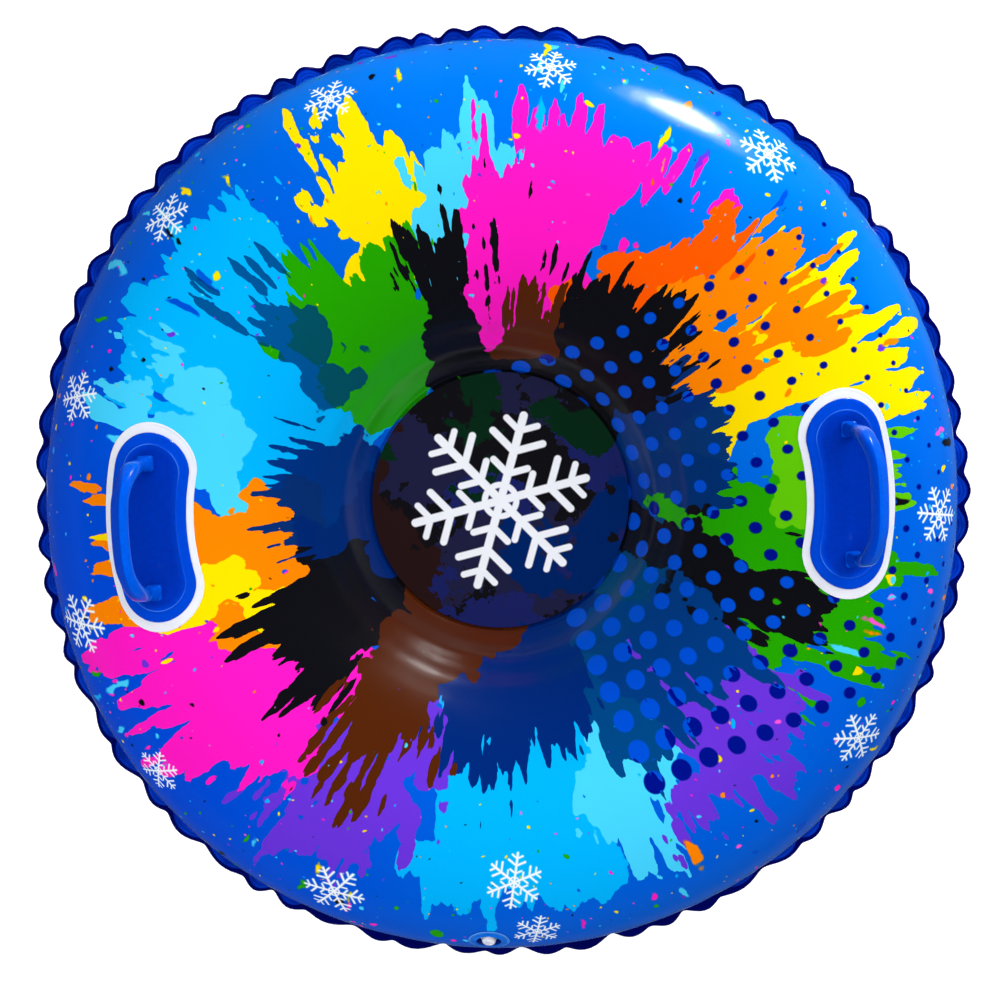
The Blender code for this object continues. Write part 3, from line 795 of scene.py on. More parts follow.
def pvc_surface(g, flat, coarse=1.0):
    """Roughness and bump of glossy PVC sheet."""
    x, y, rho = g.split(flat)
    plane = g.vector(x, y, 0.0)
    mottle = g.noise(plane, 34.0, 3.0, 0.6)
    peel = g.noise(plane, 620.0, 2.0, 0.5)
    slow = g.noise(plane, 16.0, 2.0, 0.5)
    roughness = mottle * 0.08 + 0.065
    normal = g.bump(slow, 0.5 * coarse, 0.0012)
    normal = g.bump(peel, 0.14 * coarse, 0.00012, normal)
    return roughness, normal


def flat_at(r):
    return R_WELD + float(np.interp(r, RADIUS, LENGTH))


RIM_FLAKES, INNER_FLAKES = flat_at(0.425), flat_at(0.366)
top = Paint("printed_pvc_look")
sheet_at = top.attribute("sheet")
rough, bumped = pvc_surface(top, sheet_at)
print_colour = printed(top, sheet_at)
_, _, rho = top.split(sheet_at)
rough = rough + rho.ramp(0.24, 0.34, 0.15, 0.0)  # the inner slope is less polished
seam_at = R_WELD + TOTAL
welded = rho.above(seam_at + 0.0004)
_, north_at, _ = top.split(sheet_at)
hem_node = top.new("ShaderNodeAttribute", attribute_name="hem", attribute_type="GEOMETRY")
hem = Val(top, hem_node.outputs["Fac"])
weld_shade = top.noise(sheet_at, 40.0, 2.0)
flange_colour = top.mix(weld_shade.ramp(0.3, 0.7), lin(0, 42, 160), lin(4, 62, 196))
rib_shade = (hem * (2 * math.pi / 0.0036)).cos().ramp(0.1, 1.0)  # painted shade: dark lines in the ribs that follow the wavy edge
flange_colour = top.mix(rib_shade * 0.52, flange_colour, lin(0, 16, 108))
# the navy hem's width: about 3 mm, growing at the front into painted shade over the whole flange
hem_and_shade_width = north_at.ramp(-seam_at * 0.97, -seam_at * 0.86, 0.018, 0.0032) + (weld_shade - 0.5) * 0.002
hem_and_shade = (hem - hem_and_shade_width).ramp(-0.0006, 0.0008, 1.0, 0.0)  # a navy hem, widened into painted shade in the valleys and at the front, where the whole flange turns navy
flange_colour = top.mix(hem_and_shade, flange_colour, lin(0, 4, 90))
colour = top.mix(welded, print_colour, flange_colour)
top_skin.data.materials.append(top.finish(colour, rough, bumped, Specular_IOR_Level=0.5, Sheen_Weight=0.020, Sheen_Roughness=0.15, Sheen_Tint=(0.40, 0.58, 1.0, 1.0)))

base = Paint("base_pvc_look")
base_at = base.attribute("sheet")
bx, by, brho = base.split(base_at)
plane = base.vector(bx, by, 0.0)
grain = base.cells(plane, 420.0, 1.0)[0]
scuff = base.noise(base.vector(bx * 3.0, by * 26.0, 0.0), 6.0, 4.0, 0.7)
tone = base.noise(plane, 5.0, 3.0)
navy = base.mix(tone.ramp(0.3, 0.7), lin(0, 12, 96), lin(0, 24, 132))
navy = base.mix(scuff.ramp(0.60, 0.80, 0.0, 0.22), navy, lin(60, 84, 168))
weld_ring = (brho - R_WELD - 0.003).size().below(0.0016)
navy = base.mix(weld_ring, navy, lin(0, 8, 70))
grained = base.bump(grain, 0.35, 0.00025)
grained = base.bump(base.noise(plane, 14.0, 2.0), 0.5, 0.0012, grained)
base_skin.data.materials.append(base.finish(navy, scuff.ramp(0.4, 0.8, 0.24, 0.42), grained, Specular_IOR_Level=0.5))

dark = Paint("seat_pvc_look")
seat_at = dark.attribute("sheet")
sx, sy, srho = dark.split(seat_at)
seat_plane = dark.vector(sx, sy, 0.0)
warped = dark.noise(seat_plane, 7.0, 6.0, 0.62, colour=True)
n1, n2, n3 = dark.split_colour(warped)
seat_colour = dark.mix(n1.above(0.50), lin(17, 16, 20), lin(30, 30, 62))
seat_colour = dark.mix((n2 + sx * 0.5 - sy * 0.4).above(0.545), seat_colour, lin(26, 32, 92))
seat_colour = dark.mix((n3 - sx * 0.6 - sy * 0.5).above(0.560), seat_colour, lin(38, 20, 20))
seat_colour = dark.mix((n1 + sx * 0.9).above(0.600), seat_colour, lin(0, 34, 96))
seat_colour = dark.mix((n2 + sy * 0.9).above(0.610), seat_colour, lin(8, 40, 22))
spin = math.radians(12)
star_x = sx * math.cos(spin) + sy * math.sin(spin)
star_y = sy * math.cos(spin) - sx * math.sin(spin)
emblem = snowflake(dark, star_x, star_y, 0.096, 0.006)
seat_colour = dark.mix(emblem, seat_colour, lin(240, 242, 248))
seat_rough, seat_bump = pvc_surface(dark, seat_at, 0.9)
seat.data.materials.append(dark.finish(seat_colour, seat_rough, seat_bump, Specular_IOR_Level=0.45))


# ================================================================ handles
def loft(name, rings, capped=True, tones=None):
    """A closed skin through rings of points. tones gives a value for each ring, kept as the attribute "tone"."""
    bm = bmesh.new()
    layer = bm.verts.layers.float.new("tone") if tones else None
    loops = [[bm.verts.new(p) for p in ring] for ring in rings]
    for loop, value in zip(loops, tones or []):
        for v in loop:
            v[layer] = value
    pairs = list(zip(loops, loops[1:])) + ([] if capped else [(loops[-1], loops[0])])
    for lower, upper in pairs:
        n = len(lower)
        for i in range(n):
            j = (i + 1) % n
            bm.faces.new((lower[i], lower[j], upper[j], upper[i]))
    bmesh.ops.remove_doubles(bm, verts=bm.verts, dist=0.00001)
    bmesh.ops.recalc_face_normals(bm, faces=bm.faces)
    mesh = bpy.data.meshes.new(name)
    bm.to_mesh(mesh)
    bm.free()
    mesh.shade_smooth()
    return bpy.data.objects.new(name, mesh)


def bean_ring(half_width, arc, lift, side, sides=34, ends=26):
    ring = []
    for x, y in bean(half_width, arc, sides, ends):
        p = surface(math.hypot(x, y), math.atan2(y, x), lift)
        p.x *= side
        ring.append(p)
    return ring


BORDER_UNDER, BORDER_OVER = GAP + 0.0001, GAP + 0.0006
PLATE_UNDER = BORDER_OVER + GAP
WELL_TOP = PLATE_UNDER + 0.0010
BAND_TOP = PLATE_UNDER + 0.0025


def border(side, label):
    rows = [(w, BORDER_ARC, BORDER_UNDER) for w in (0.0, 0.014, 0.028, 0.0355, 0.0418)]
    rows += [(0.0425, BORDER_ARC, BORDER_UNDER + 0.0001), (0.0426, BORDER_ARC, BORDER_OVER - 0.0002), (0.0424, BORDER_ARC, BORDER_OVER), (0.0417, BORDER_ARC, BORDER_OVER + 0.0001)]
    rows += [(0.0406, BORDER_ARC, BORDER_OVER + 0.0001), (0.0398, BORDER_ARC, BORDER_OVER - 0.0001), (0.0390, BORDER_ARC, BORDER_OVER)]
    rows += [(w, BORDER_ARC, BORDER_OVER) for w in (0.0355, 0.028, 0.014, 0.0)]
    return loft(label + "_border_patch", [bean_ring(w, arc, lift, side) for w, arc, lift in rows])


def plate(side, label):
    # each row: half width, arc, lift, tone; tone 1 paints the well floor darker as shade, below 0 paints a highlight
    # line on the lip
    rows = [(w, PLATE_ARC, PLATE_UNDER, 0.0) for w in (0.0, 0.012, 0.024, 0.0350)]
    rows += [(0.0357, PLATE_ARC, PLATE_UNDER + 0.0004, 0.0), (0.0357, PLATE_ARC, PLATE_UNDER + 0.0011, 0.0), (0.03545, PLATE_ARC, BAND_TOP - 0.0009, 0.0)]
    rows += [(0.0348, PLATE_ARC, BAND_TOP - 0.0004, 0.0), (0.0339, PLATE_ARC, BAND_TOP - 0.0001, 0.0), (0.0322, PLATE_ARC, BAND_TOP, 0.0)]
    rows += [(0.0296, WELL_ARC, BAND_TOP - 0.0002, 0.0), (0.0280, WELL_ARC, BAND_TOP - 0.0001, 0.05), (0.0274, WELL_ARC, BAND_TOP + 0.0002, 0.0), (0.0269, WELL_ARC, BAND_TOP + 0.0005, -0.5), (0.0264, WELL_ARC, BAND_TOP + 0.0006, -1.0), (0.0259, WELL_ARC, BAND_TOP + 0.0005, -0.4)]
    rows += [(0.0254, WELL_ARC, BAND_TOP + 0.0001, 0.2), (0.0248, WELL_ARC, BAND_TOP - 0.0004, 0.4), (0.0236, WELL_ARC, BAND_TOP - 0.0009, 0.6), (0.0222, WELL_ARC, WELL_TOP + 0.0003, 0.8)]
    rows += [(0.0204, WELL_ARC, WELL_TOP, 1.0), (0.0170, WELL_ARC, WELL_TOP - 0.0002, 1.0), (0.0115, WELL_ARC, WELL_TOP - 0.0002, 1.0), (0.0050, WELL_ARC, WELL_TOP - 0.0001, 1.0), (0.0, WELL_ARC, WELL_TOP - 0.0001, 1.0)]
    return loft(label + "_moulded_plate", [bean_ring(w, arc, lift, side) for w, arc, lift, _ in rows], tones=[row[3] for row in rows])


ROOT_Z = surface(math.hypot(GRIP_X, GRIP_HALF), 0.0, WELL_TOP).z + 0.0073 + 0.0005


ON_BAR = [(1.0, -0.25), (0.97, 0.14), (0.34, 0.64), (-0.36, 1.10), (-0.76, 0.62), (-0.99, 0.04), (-1.0, -0.28), (-0.86, -0.64), (-0.45, -0.97), (0.0, -1.05), (0.45, -0.97), (0.86, -0.66)]
ON_LEG = [(1.0, -0.30), (0.99, 0.34), (0.74, 0.92), (0.0, 1.0), (-0.74, 0.92), (-0.99, 0.34), (-1.0, -0.30), (-0.90, -0.80), (-0.45, -1.0), (0.0, -1.0), (0.45, -1.0), (0.90, -0.80)]


def grip_section(width, thick, roof):
    """Section of the grip, (away from the tube's middle, away from the hand). roof blends it from a leg's to the bar's, which has a soft ridge."""
    corners = [(p[0] + (q[0] - p[0]) * roof, p[1] + (q[1] - p[1]) * roof) for p, q in zip(ON_LEG, ON_BAR)]
    points = []
    n = len(corners)
    for i, (x, y) in enumerate(corners):
        cut = 0.40 - 0.24 * roof if i == 3 else 0.38 - 0.08 * roof if i in (1, 5) else 0.40
        before, after = corners[i - 1], corners[(i + 1) % n]
        a = (x + (before[0] - x) * cut, y + (before[1] - y) * cut)
        b = (x + (after[0] - x) * cut, y + (after[1] - y) * cut)
        for t in (0.0, 0.5, 1.0):
            points.append((((1 - t) ** 2 * a[0] + 2 * t * (1 - t) * x + t * t * b[0]) * width, ((1 - t) ** 2 * a[1] + 2 * t * (1 - t) * y + t * t * b[1]) * thick))
    return points


def grip(side, label):
    lean = Vector((side * math.sin(GRIP_LEAN), 0, math.cos(GRIP_LEAN)))
    face = Vector((side * math.cos(GRIP_LEAN), 0, -math.sin(GRIP_LEAN)))
    path = [(GRIP_HALF, h) for h in (-0.0040, -0.0030, 0.0000, 0.0030, 0.0060, 0.0090, 0.0120, 0.0160, 0.0200, 0.0240)]
    steps = 18
    for i in range(steps + 1):
        a = math.pi / 2 * i / steps
        path.append((GRIP_HALF - GRIP_CORNER + GRIP_CORNER * math.cos(a), GRIP_RISE - GRIP_CORNER + GRIP_CORNER * math.sin(a)))
    for i in range(1, 10):
        path.append(((GRIP_HALF - GRIP_CORNER) * (1 - i / 9), GRIP_RISE))
    path = [(y - 0.0034 * max(0.0, h / GRIP_RISE) * min(1.0, y / 0.03), h) for y, h in path]  # the legs lean in
    full = path + [(-y, h) for y, h in path[-2::-1]]
    travelled = [0.0]
    for p, q in zip(full, full[1:]):
        travelled.append(travelled[-1] + math.hypot(q[0] - p[0], q[1] - p[1]))
    bend_at = 0.004 + GRIP_RISE - GRIP_CORNER  # where the elbow starts
    rings = []
    for i, (y, h) in enumerate(full):
        before, after = full[max(i - 1, 0)], full[min(i + 1, len(full) - 1)]
        t = Vector((after[0] - before[0], after[1] - before[1])).normalized()
        outwards = Vector((t.y, -t.x))  # in the (y, h) plane, away from the fingers
        bow = GRIP_BOW * max(0.0, h / GRIP_RISE) * (1 - (y / GRIP_HALF) ** 2)
        middle = Vector((side * GRIP_X, y, ROOT_Z)) + lean * h + face * bow
        grow = float(smooth_step(np.array((h - 0.010) / 0.028)))
        roof = float(smooth_step(np.array((min(travelled[i], travelled[-1] - travelled[i]) - bend_at - 0.010) / 0.036)))
        root = float(smooth_step(np.array((0.016 - h) / 0.014)))  # the legs flare into their feet
        width = 0.0066 + 0.0020 * grow + 0.0004 * root
        thick = 0.0060 + 0.0006 * grow + 0.0015 * root
        end = 0.86 if i in (0, len(full) - 1) else 1.0
        ring = []
        for across, out in grip_section(width * end, thick * end, roof):
            ring.append(middle + face * across + (Vector((0, outwards.x, 0)) + lean * outwards.y) * out)
        rings.append(ring)
    first = [sum((p for p in rings[0]), Vector()) / len(rings[0])] * len(rings[0])
    last = [sum((p for p in rings[-1]), Vector()) / len(rings[-1])] * len(rings[-1])
    bar = loft(label + "_moulded_grip", [first] + rings + [last])
    shade = bar.data.attributes.new("tone", "FLOAT", "POINT")  # painted shade: the facets turned away from the key light are darker
    normals = np.empty(len(bar.data.vertices) * 3, dtype=np.float32)
    bar.data.vertex_normals.foreach_get("vector", normals)
    nx, ny = normals[0::3], normals[1::3]
    shade.data.foreach_set("value", smooth_step((-nx - 0.25 * ny - 0.02) / 0.40).astype(np.float32))
    return bar


def rounded_block(name, size, radius, at, turn):
    bm = bmesh.new()
    bmesh.ops.create_cube(bm, size=1.0, matrix=Matrix.Diagonal((*size, 1.0)))
    bmesh.ops.bevel(bm, geom=bm.edges[:], offset=radius, segments=4, profile=0.5, affect="EDGES")
    mesh = bpy.data.meshes.new(name)
    bm.to_mesh(mesh)
    bm.free()
    mesh.transform(Matrix.Translation(at) @ turn)
    mesh.shade_smooth()
    return bpy.data.objects.new(name, mesh)


def moulded_blue(name, tone_a, tone_b, rough_low, rough_high, floor=None, specular=0.6):
    g = Paint(name)
    at = g.place()
    speck = g.noise(at, 900.0, 2.0, 0.5)
    tone = g.noise(at, 260.0, 3.0, 0.6)
    slow = g.noise(at, 70.0, 2.0, 0.5)
    colour = g.mix(tone.ramp(0.2, 0.8), tone_a, tone_b)
    # the floor colours go where the attribute tone is 1: painted shade on the plate's well floor and on the grip's
    # facets turned from the key light
    if floor:
        n = g.new("ShaderNodeAttribute", attribute_name="tone", attribute_type="GEOMETRY")
        part = Val(g, n.outputs["Fac"])
        colour = g.mix(part, colour, g.mix(tone.ramp(0.2, 0.8), *floor))
        # how strong the painted lip highlight is: more towards the plate's ends, broken up by noise
        ends = g.split(at)[1].size().ramp(0.015, 0.075, 0.05, 0.42) * g.noise(at, 28.0, 1.0).ramp(0.38, 0.60, 0.35, 1.3)
        colour = g.mix(part.ramp(-0.9, -0.2, 1.0, 0.0) * ends, colour, lin(84, 150, 246))  # a painted highlight along the well's lip, stronger towards the plate's ends
    normal = g.bump(slow, 0.20, 0.0005)
    normal = g.bump(speck, 0.20, 0.00008, normal)
    return g.finish(colour, tone.ramp(0.25, 0.75, rough_low, rough_high), normal, Specular_IOR_Level=specular)


# the plate's floor colours are painted shade of its recessed well
plate_look = moulded_blue("moulded_plate_look", lin(0, 66, 202), lin(0, 71, 211), 0.10, 0.15, floor=(lin(0, 47, 171), lin(0, 53, 183)))
# the grip's floor colours are painted shade on its facets turned away from the key light
grip_look = moulded_blue("moulded_grip_look", lin(0, 84, 216), lin(0, 92, 228), 0.16, 0.22, floor=(lin(0, 60, 189), lin(0, 66, 199)), specular=0.35)

g = Paint("white_patch_look")
at = g.place()
weave = g.noise(at, 260.0, 2.0, 0.5)
tone = g.noise(at, 30.0, 3.0, 0.6)
white = g.mix(tone.ramp(0.3, 0.7), lin(227, 230, 239), lin(235, 238, 246))
patch_look = g.finish(white, tone.ramp(0.2, 0.8, 0.34, 0.46), g.bump(weave, 0.2, 0.00015), Specular_IOR_Level=0.4)

for side, label in ((-1, "left"), (1, "right")):
    patch, pad, bar = border(side, label), plate(side, label), grip(side, label)
    for where, y in (("front", -GRIP_HALF), ("back", GRIP_HALF)):
        foot = rounded_block(f"{label}_{where}_foot", (0.0146, 0.0154, 0.0094), 0.0026, Vector((side * GRIP_X, y, ROOT_Z - 0.0078 + 0.0048)), Matrix.Identity(4))
        linked(foot)
        foot.data.materials.append(grip_look)
        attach(foot, "tube")
        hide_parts(label + "_grip")
    for obj in (patch, pad, bar):
        linked(obj)
    patch.data.materials.append(patch_look)
    pad.data.materials.append(plate_look)
    bar.data.materials.append(grip_look)
    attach(patch, "tube")
    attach(pad, "tube")
    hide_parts(label + "_handle_border")
    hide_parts(label + "_handle_plate")
    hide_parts(label + "_grip")
    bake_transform(bar)


# ================================================================ valve
V_FLANGE_R, V_CUP_R, V_CUP_IN, V_CUP_DEPTH, V_HOLE_R = 0.0209, 0.0133, 0.0123, 0.0140, 0.0070
V_NECK_R, V_BORE_R, V_COLLAR_R = 0.0063, 0.0040, 0.0082
V_NECK_TOP, V_NECK_END = -0.0022, -0.0260
V_STEM_R, V_HEAD_R = 0.0037, 0.0073
FLAP_HINGE = 0.0066


def valve_ring(radius, height, conform, count=72):
    ring = []
    for i in range(count):
        a = 2 * math.pi * i / count
        u, v = radius * math.cos(a), radius * math.sin(a)
        if conform:
            r = float(np.interp(VALVE_S + u, LENGTH, RADIUS))
            ring.append(surface(r, VALVE_AZIMUTH + v / r, height))
        else:
            ring.append(VALVE_AT + u * DOWN + v * AROUND + height * NORMAL)
    return ring


flange_rows = [
    (0.0206, GAP, True), (0.0170, GAP, True), (0.0142, GAP - 0.0001, True), (V_CUP_R, -0.0004, True), (V_CUP_R, -0.0030, False),
    (V_CUP_R, -V_CUP_DEPTH + 0.0006, False), (V_CUP_R - 0.0006, -V_CUP_DEPTH, False), (V_HOLE_R, -V_CUP_DEPTH, False), (V_HOLE_R, -V_CUP_DEPTH + 0.0010, False),
    (V_CUP_IN - 0.0008, -V_CUP_DEPTH + 0.0010, False), (V_CUP_IN - 0.0001, -V_CUP_DEPTH + 0.0017, False), (V_CUP_IN, -0.0030, False), (V_CUP_IN, 0.0004, True),
    (V_CUP_IN + 0.0002, 0.0014, True), (V_CUP_IN + 0.0007, 0.0019, True), (V_CUP_R + 0.0004, 0.0020, True), (V_CUP_R + 0.0011, 0.0016, True), (V_CUP_R + 0.0018, 0.0011, True),
    (0.0158, 0.0010, True), (0.0164, 0.0012, True), (0.0170, 0.0010, True), (0.0184, 0.0009, True), (0.0190, 0.0011, True), (0.0196, 0.0009, True), (0.0204, 0.0008, True), (0.0208, 0.0006, True), (0.0209, 0.0004, True),
]
cup_tones = [0.0] * 3 + [1.0] * 9 + [0.9, 0.4] + [0.0] * 8 + [-0.8, 0.0, -1.0, -1.0, -0.3]  # 1 paints shade into the cup, below 0 paints highlight lines on the rim
valve_cup = loft("valve_flange", [valve_ring(*row) for row in flange_rows], capped=False, tones=cup_tones)


def turned(name, outline, count=48, solid=False):
    """Spins an outline of (radius, height) round the valve's axis. A solid's outline starts and ends on the axis."""
    rings = []
    for radius, height in outline:
        rings.append([VALVE_AT + radius * math.cos(2 * math.pi * i / count) * DOWN + radius * math.sin(2 * math.pi * i / count) * AROUND + height * NORMAL for i in range(count)])
    return loft(name, rings, capped=solid)


neck = turned("valve_neck_tube", [
    (V_BORE_R, V_NECK_TOP - 0.0004), (V_BORE_R + 0.0004, V_NECK_TOP), (V_COLLAR_R - 0.0003, V_NECK_TOP), (V_COLLAR_R, V_NECK_TOP - 0.0003), (V_COLLAR_R, V_NECK_TOP - 0.0008),
    (V_COLLAR_R - 0.0004, V_NECK_TOP - 0.0011), (V_NECK_R, V_NECK_TOP - 0.0015), (V_NECK_R, V_NECK_END + 0.0016), (0.0076, V_NECK_END + 0.0010), (0.0076, V_NECK_END + 0.0002), (0.0074, V_NECK_END), (V_BORE_R, V_NECK_END),
])
plug = turned("valve_stopper", [
    (0.0, 0.0026), (0.0018, 0.0026), (0.0026, 0.0030), (0.0034, 0.0036), (0.0048, 0.0034), (0.0060, 0.0025), (0.0069, 0.0010), (V_HEAD_R, -0.0006), (V_HEAD_R, -0.0016), (V_HEAD_R - 0.0003, -0.0019),
    (V_STEM_R + 0.0001, -0.0019), (V_STEM_R, -0.0024), (V_STEM_R, -0.0050), (V_STEM_R + 0.0002, -0.0054), (V_STEM_R, -0.0058), (V_STEM_R, -0.0095), (V_STEM_R - 0.0008, -0.0110), (0.0, -0.0110),
], solid=True)
tab = rounded_block("valve_pull_tab", (0.0056, 0.0046, 0.0012), 0.0005, Vector(), VALVE_FRAME @ Matrix.Translation((-0.0079, 0.0, -0.0008)))
flap = loft("valve_flap_disc", [[VALVE_FRAME @ Vector((r * math.cos(2 * math.pi * i / 40), r * math.sin(2 * math.pi * i / 40), V_NECK_END - GAP + h)) for i in range(40)]
                                for r, h in ((0.0, 0.0), (0.0040, 0.0), (0.0058, -0.0001), (0.0060, -0.0003), (0.0058, -0.0006), (0.0040, -0.0007), (0.0, -0.0007))])


def strap(name, path, width, thick):
    """A flat moulded strap with rounded edges along a path of (along, up) in the valve's frame."""
    fine = []
    for i in range(len(path) - 1):
        p0, p1, p2, p3 = (Vector(path[max(0, min(len(path) - 1, i + k))]) for k in (-1, 0, 1, 2))
        for j in range(6):
            t = j / 6
            fine.append(0.5 * ((2 * p1) + (p2 - p0) * t + (2 * p0 - 5 * p1 + 4 * p2 - p3) * t * t + (3 * p1 - p0 - 3 * p2 + p3) * t**3))
    fine.append(Vector(path[-1]))
    rings = []
    for i, p in enumerate(fine):
        t = (fine[min(i + 1, len(fine) - 1)] - fine[max(i - 1, 0)]).normalized()
        n = Vector((-t.y, t.x))
        ring = []
        for k in range(16):
            a = 2 * math.pi * k / 16
            y = width / 2 * math.copysign(abs(math.cos(a)) ** 0.5, math.cos(a))
            h = thick / 2 * math.copysign(abs(math.sin(a)) ** 0.5, math.sin(a))
            ring.append(VALVE_FRAME @ Vector((p.x + n.x * h, y, p.y + n.y * h)))
        rings.append(ring)
    ends = [[sum(r, Vector()) / len(r)] * len(r) for r in (rings[0], rings[-1])]
    return loft(name, [ends[0]] + rings + [ends[1]])


tether = strap("valve_strap", [(0.0084, -0.0029), (0.0100, -0.0030), (0.0110, -0.0025), (0.0112, -0.0017), (0.0105, -0.0011), (0.0092, -0.0010), (0.0077, -0.0012)], 0.0026, 0.0008)

g = Paint("valve_blue_look")
at = g.place()
tone = g.noise(at, 120.0, 2.0)
colour = g.mix(tone.ramp(0.3, 0.7), lin(4, 102, 222), lin(14, 116, 232))
n = g.new("ShaderNodeAttribute", attribute_name="tone", attribute_type="GEOMETRY")
part = Val(g, n.outputs["Fac"])
# painted shade inside the cup
colour = g.mix(part.ramp(0.0, 0.9), colour, lin(0, 38, 134))
# painted highlight lines on the rim
colour = g.mix(part.ramp(-0.9, -0.2, 0.7, 0.0), colour, lin(120, 184, 250))
flange_look = g.finish(colour, tone.ramp(0.2, 0.8, 0.10, 0.20), g.bump(g.noise(at, 800.0, 2.0), 0.15, 0.0001), Specular_IOR_Level=0.5, Coat_Weight=0.4, Coat_Roughness=0.06)
g = Paint("valve_white_look")
at = g.place()
tone = g.noise(at, 150.0, 2.0)
colour = g.mix(tone.ramp(0.3, 0.7), lin(222, 226, 244), lin(246, 247, 253))
colour = g.mix(g.noise(at, 330.0, 1.0).ramp(0.50, 0.66, 0.0, 0.55), colour, lin(186, 190, 222))
milky_look = g.finish(colour, tone.ramp(0.2, 0.8, 0.16, 0.28), g.bump(g.noise(at, 900.0, 2.0), 0.15, 0.0001), Specular_IOR_Level=0.5, Subsurface_Weight=0.15, Subsurface_Scale=0.002)

for obj, look in ((valve_cup, flange_look), (neck, milky_look), (plug, milky_look), (tab, milky_look), (flap, milky_look), (tether, milky_look)):
    linked(obj)
    obj.data.materials.append(look)
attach(valve_cup, "tube")
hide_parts("valve_base")
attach(neck, "valve_neck")
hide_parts("valve_neck")
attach(plug, "valve_plug")
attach(tab, "valve_plug")
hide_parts("valve_plug")
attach(flap, "valve_flap")
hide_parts("valve_flap")
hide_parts("valve_tether")
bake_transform(tether)

for obj, node, slot in ((top_skin, "top_sheet", "printed_pvc"), (base_skin, "bottom_sheet", "base_pvc"), (seat, "seat_panel", "seat_pvc")):
    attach(obj, "tube")
    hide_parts(node)


# ================================================================ studio
def floor_look():
    g = Paint("floor_look")
    at = g.place()
    tone = g.noise(at, 3.0, 3.0)
    pale = g.mix(tone.ramp(0.3, 0.7), (0.93, 0.93, 0.93), (0.95, 0.95, 0.95))
    g.put(g.shader.inputs["Emission Color"], pale)
    return g.finish(pale, tone.ramp(0.2, 0.8, 0.75, 0.85), g.bump(g.noise(at, 200.0, 2.0), 0.05, 0.0002), Specular_IOR_Level=0.2, Emission_Strength=0.55)


bm = bmesh.new()
bmesh.ops.create_grid(bm, x_segments=2, y_segments=2, size=9.0)
mesh = bpy.data.meshes.new("floor")
bm.to_mesh(mesh)
bm.free()
floor = bpy.data.objects.new("floor", mesh)
linked(floor)
floor.location.z = -0.0004
floor.visible_glossy = False
mesh.materials.append(floor_look())

# a dim room with a white ground, and a paler band on its horizon at one side
world = bpy.data.worlds.new("studio")
bpy.context.scene.world = world
world.use_nodes = True
w_nodes, w_links = world.node_tree.nodes, world.node_tree.links
direction = w_nodes.new("ShaderNodeTexCoord")
parts = w_nodes.new("ShaderNodeSeparateXYZ")
w_links.new(direction.outputs["Generated"], parts.inputs[0])


def world_map(source, a, b, c, d):
    n = w_nodes.new("ShaderNodeMapRange")
    n.interpolation_type = "SMOOTHSTEP"
    w_links.new(source, n.inputs["Value"])
    for name, value in zip(("From Min", "From Max", "To Min", "To Max"), (a, b, c, d)):
        n.inputs[name].default_value = value
    return n.outputs["Result"]


def world_math(op, a, b):
    n = w_nodes.new("ShaderNodeMath")
    n.operation = op
    for socket, value in zip(n.inputs, (a, b)):
        if isinstance(value, (int, float)):
            socket.default_value = value
        else:
            w_links.new(value, socket)
    return n.outputs[0]


below_horizon = world_map(parts.outputs["Z"], -0.78, -0.34, 1.0, 0.0)
ground_line = world_map(parts.outputs["Z"], -0.95, -0.88, 1.25, 0.0)
horizon = world_math("MULTIPLY", world_map(parts.outputs["Z"], -0.12, 0.02, 0.0, 1.0), world_map(parts.outputs["Z"], 0.08, 0.30, 1.0, 0.0))
left_side = world_map(parts.outputs["X"], -0.99, -0.72, 0.07, 0.04)
glow = world_math("MULTIPLY", horizon, left_side)
aside = world_math("SUBTRACT", world_math("MULTIPLY", parts.outputs["X"], 0.90), world_math("MULTIPLY", parts.outputs["Y"], 0.20))
near_right = world_map(aside, 0.10, 0.85, 0.085, 0.24)
below = world_math("ADD", world_math("MULTIPLY", below_horizon, near_right), ground_line)
w_links.new(world_math("ADD", world_math("ADD", below, glow), 0.02), w_nodes["Background"].inputs["Strength"])
w_nodes["Background"].inputs["Color"].default_value = (0.46, 0.64, 1.0, 1.0)


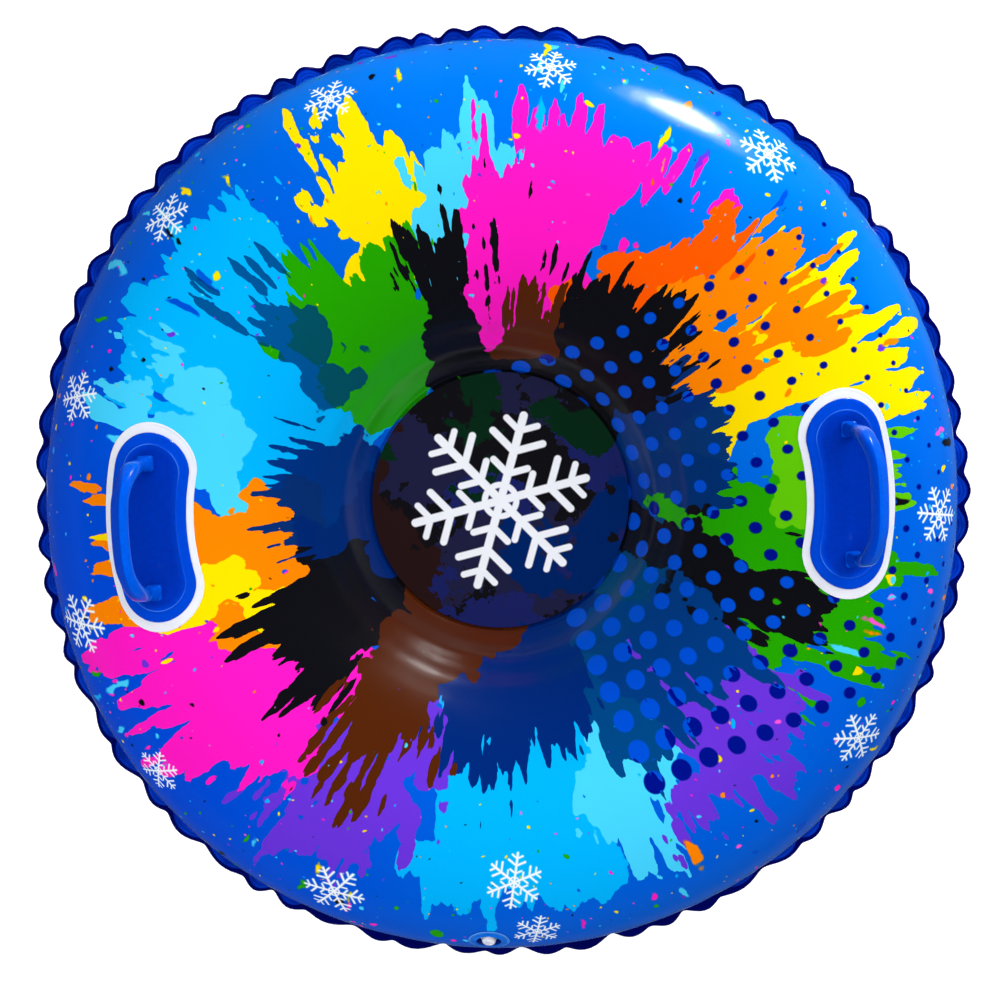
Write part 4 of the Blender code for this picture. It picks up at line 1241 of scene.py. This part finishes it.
def softbox(name, at, size, power, look_at=(0, 0, 0.15), colour=(1, 1, 1), gloss=True, shape="RECTANGLE"):
    light = bpy.data.lights.new(name, "AREA")
    light.shape = shape
    light.size, light.size_y = size
    light.energy = power
    light.color = colour
    obj = bpy.data.objects.new(name, light)
    linked(obj)
    obj.location = at
    obj.rotation_euler = (Vector(look_at) - Vector(at)).to_track_quat("-Z", "Y").to_euler()
    obj.visible_glossy = gloss
    light.cycles.use_multiple_importance_sampling = gloss  # or its gloss would still leak in
    return obj


softbox("overhead", (0.0, 0.25, 3.2), (3.8, 3.8), 111, gloss=False)
softbox("key", (2.5, 1.9, 1.9), (1.8, 1.8), 49, look_at=(0, 0, 0.1), gloss=False)
softbox("fill", (-2.1, -2.6, 1.5), (2.2, 2.2), 39, look_at=(0, 0, 0.1), gloss=False)
streak_from = Vector((0.19, 0.373, 0.222))


def towards(azimuth, elevation, distance):
    a, e = math.radians(azimuth), math.radians(elevation)
    return streak_from + distance * Vector((math.cos(e) * math.cos(a), math.cos(e) * math.sin(a), math.sin(e)))


for name, across, upright, power in (("streak", 0.36, 0.42, 12), ("streak_soft", 0.54, 0.64, 9), ("streak_glow", 0.76, 0.90, 7), ("streak_halo", 1.02, 1.18, 5)):
    softbox(name, towards(60.5, 6.8, 2.2 + across / 10), (across, upright), power, look_at=streak_from, shape="ELLIPSE")

# ================================================================ camera
DISTANCE, TILT, ASIDE, ROLL, FOCAL_PX = 1.75, math.radians(4.6), math.radians(0.6), math.radians(2.8), 1687.0
camera = bpy.data.cameras.new("camera")
camera.sensor_width = 36.0
camera.lens = FOCAL_PX / 1000 * 36.0
camera.clip_start, camera.clip_end = 0.05, 60.0
camera_object = bpy.data.objects.new("camera", camera)
linked(camera_object)
target = Vector((0, 0, SEAM_Z))
back = Vector((math.sin(ASIDE), math.sin(TILT), math.cos(TILT))).normalized()
right = Vector((math.cos(ROLL), -math.sin(ROLL), 0))
right = (right - back * right.dot(back)).normalized()
up_image = back.cross(right)
turn = Matrix((right, up_image, back)).transposed().to_4x4()
camera_object.matrix_world = Matrix.Translation(target + back * DISTANCE) @ turn
camera.shift_x, camera.shift_y = -0.0006, 0.0004
bpy.context.scene.camera = camera_object
bpy.context.scene.view_settings.view_transform = "Standard"
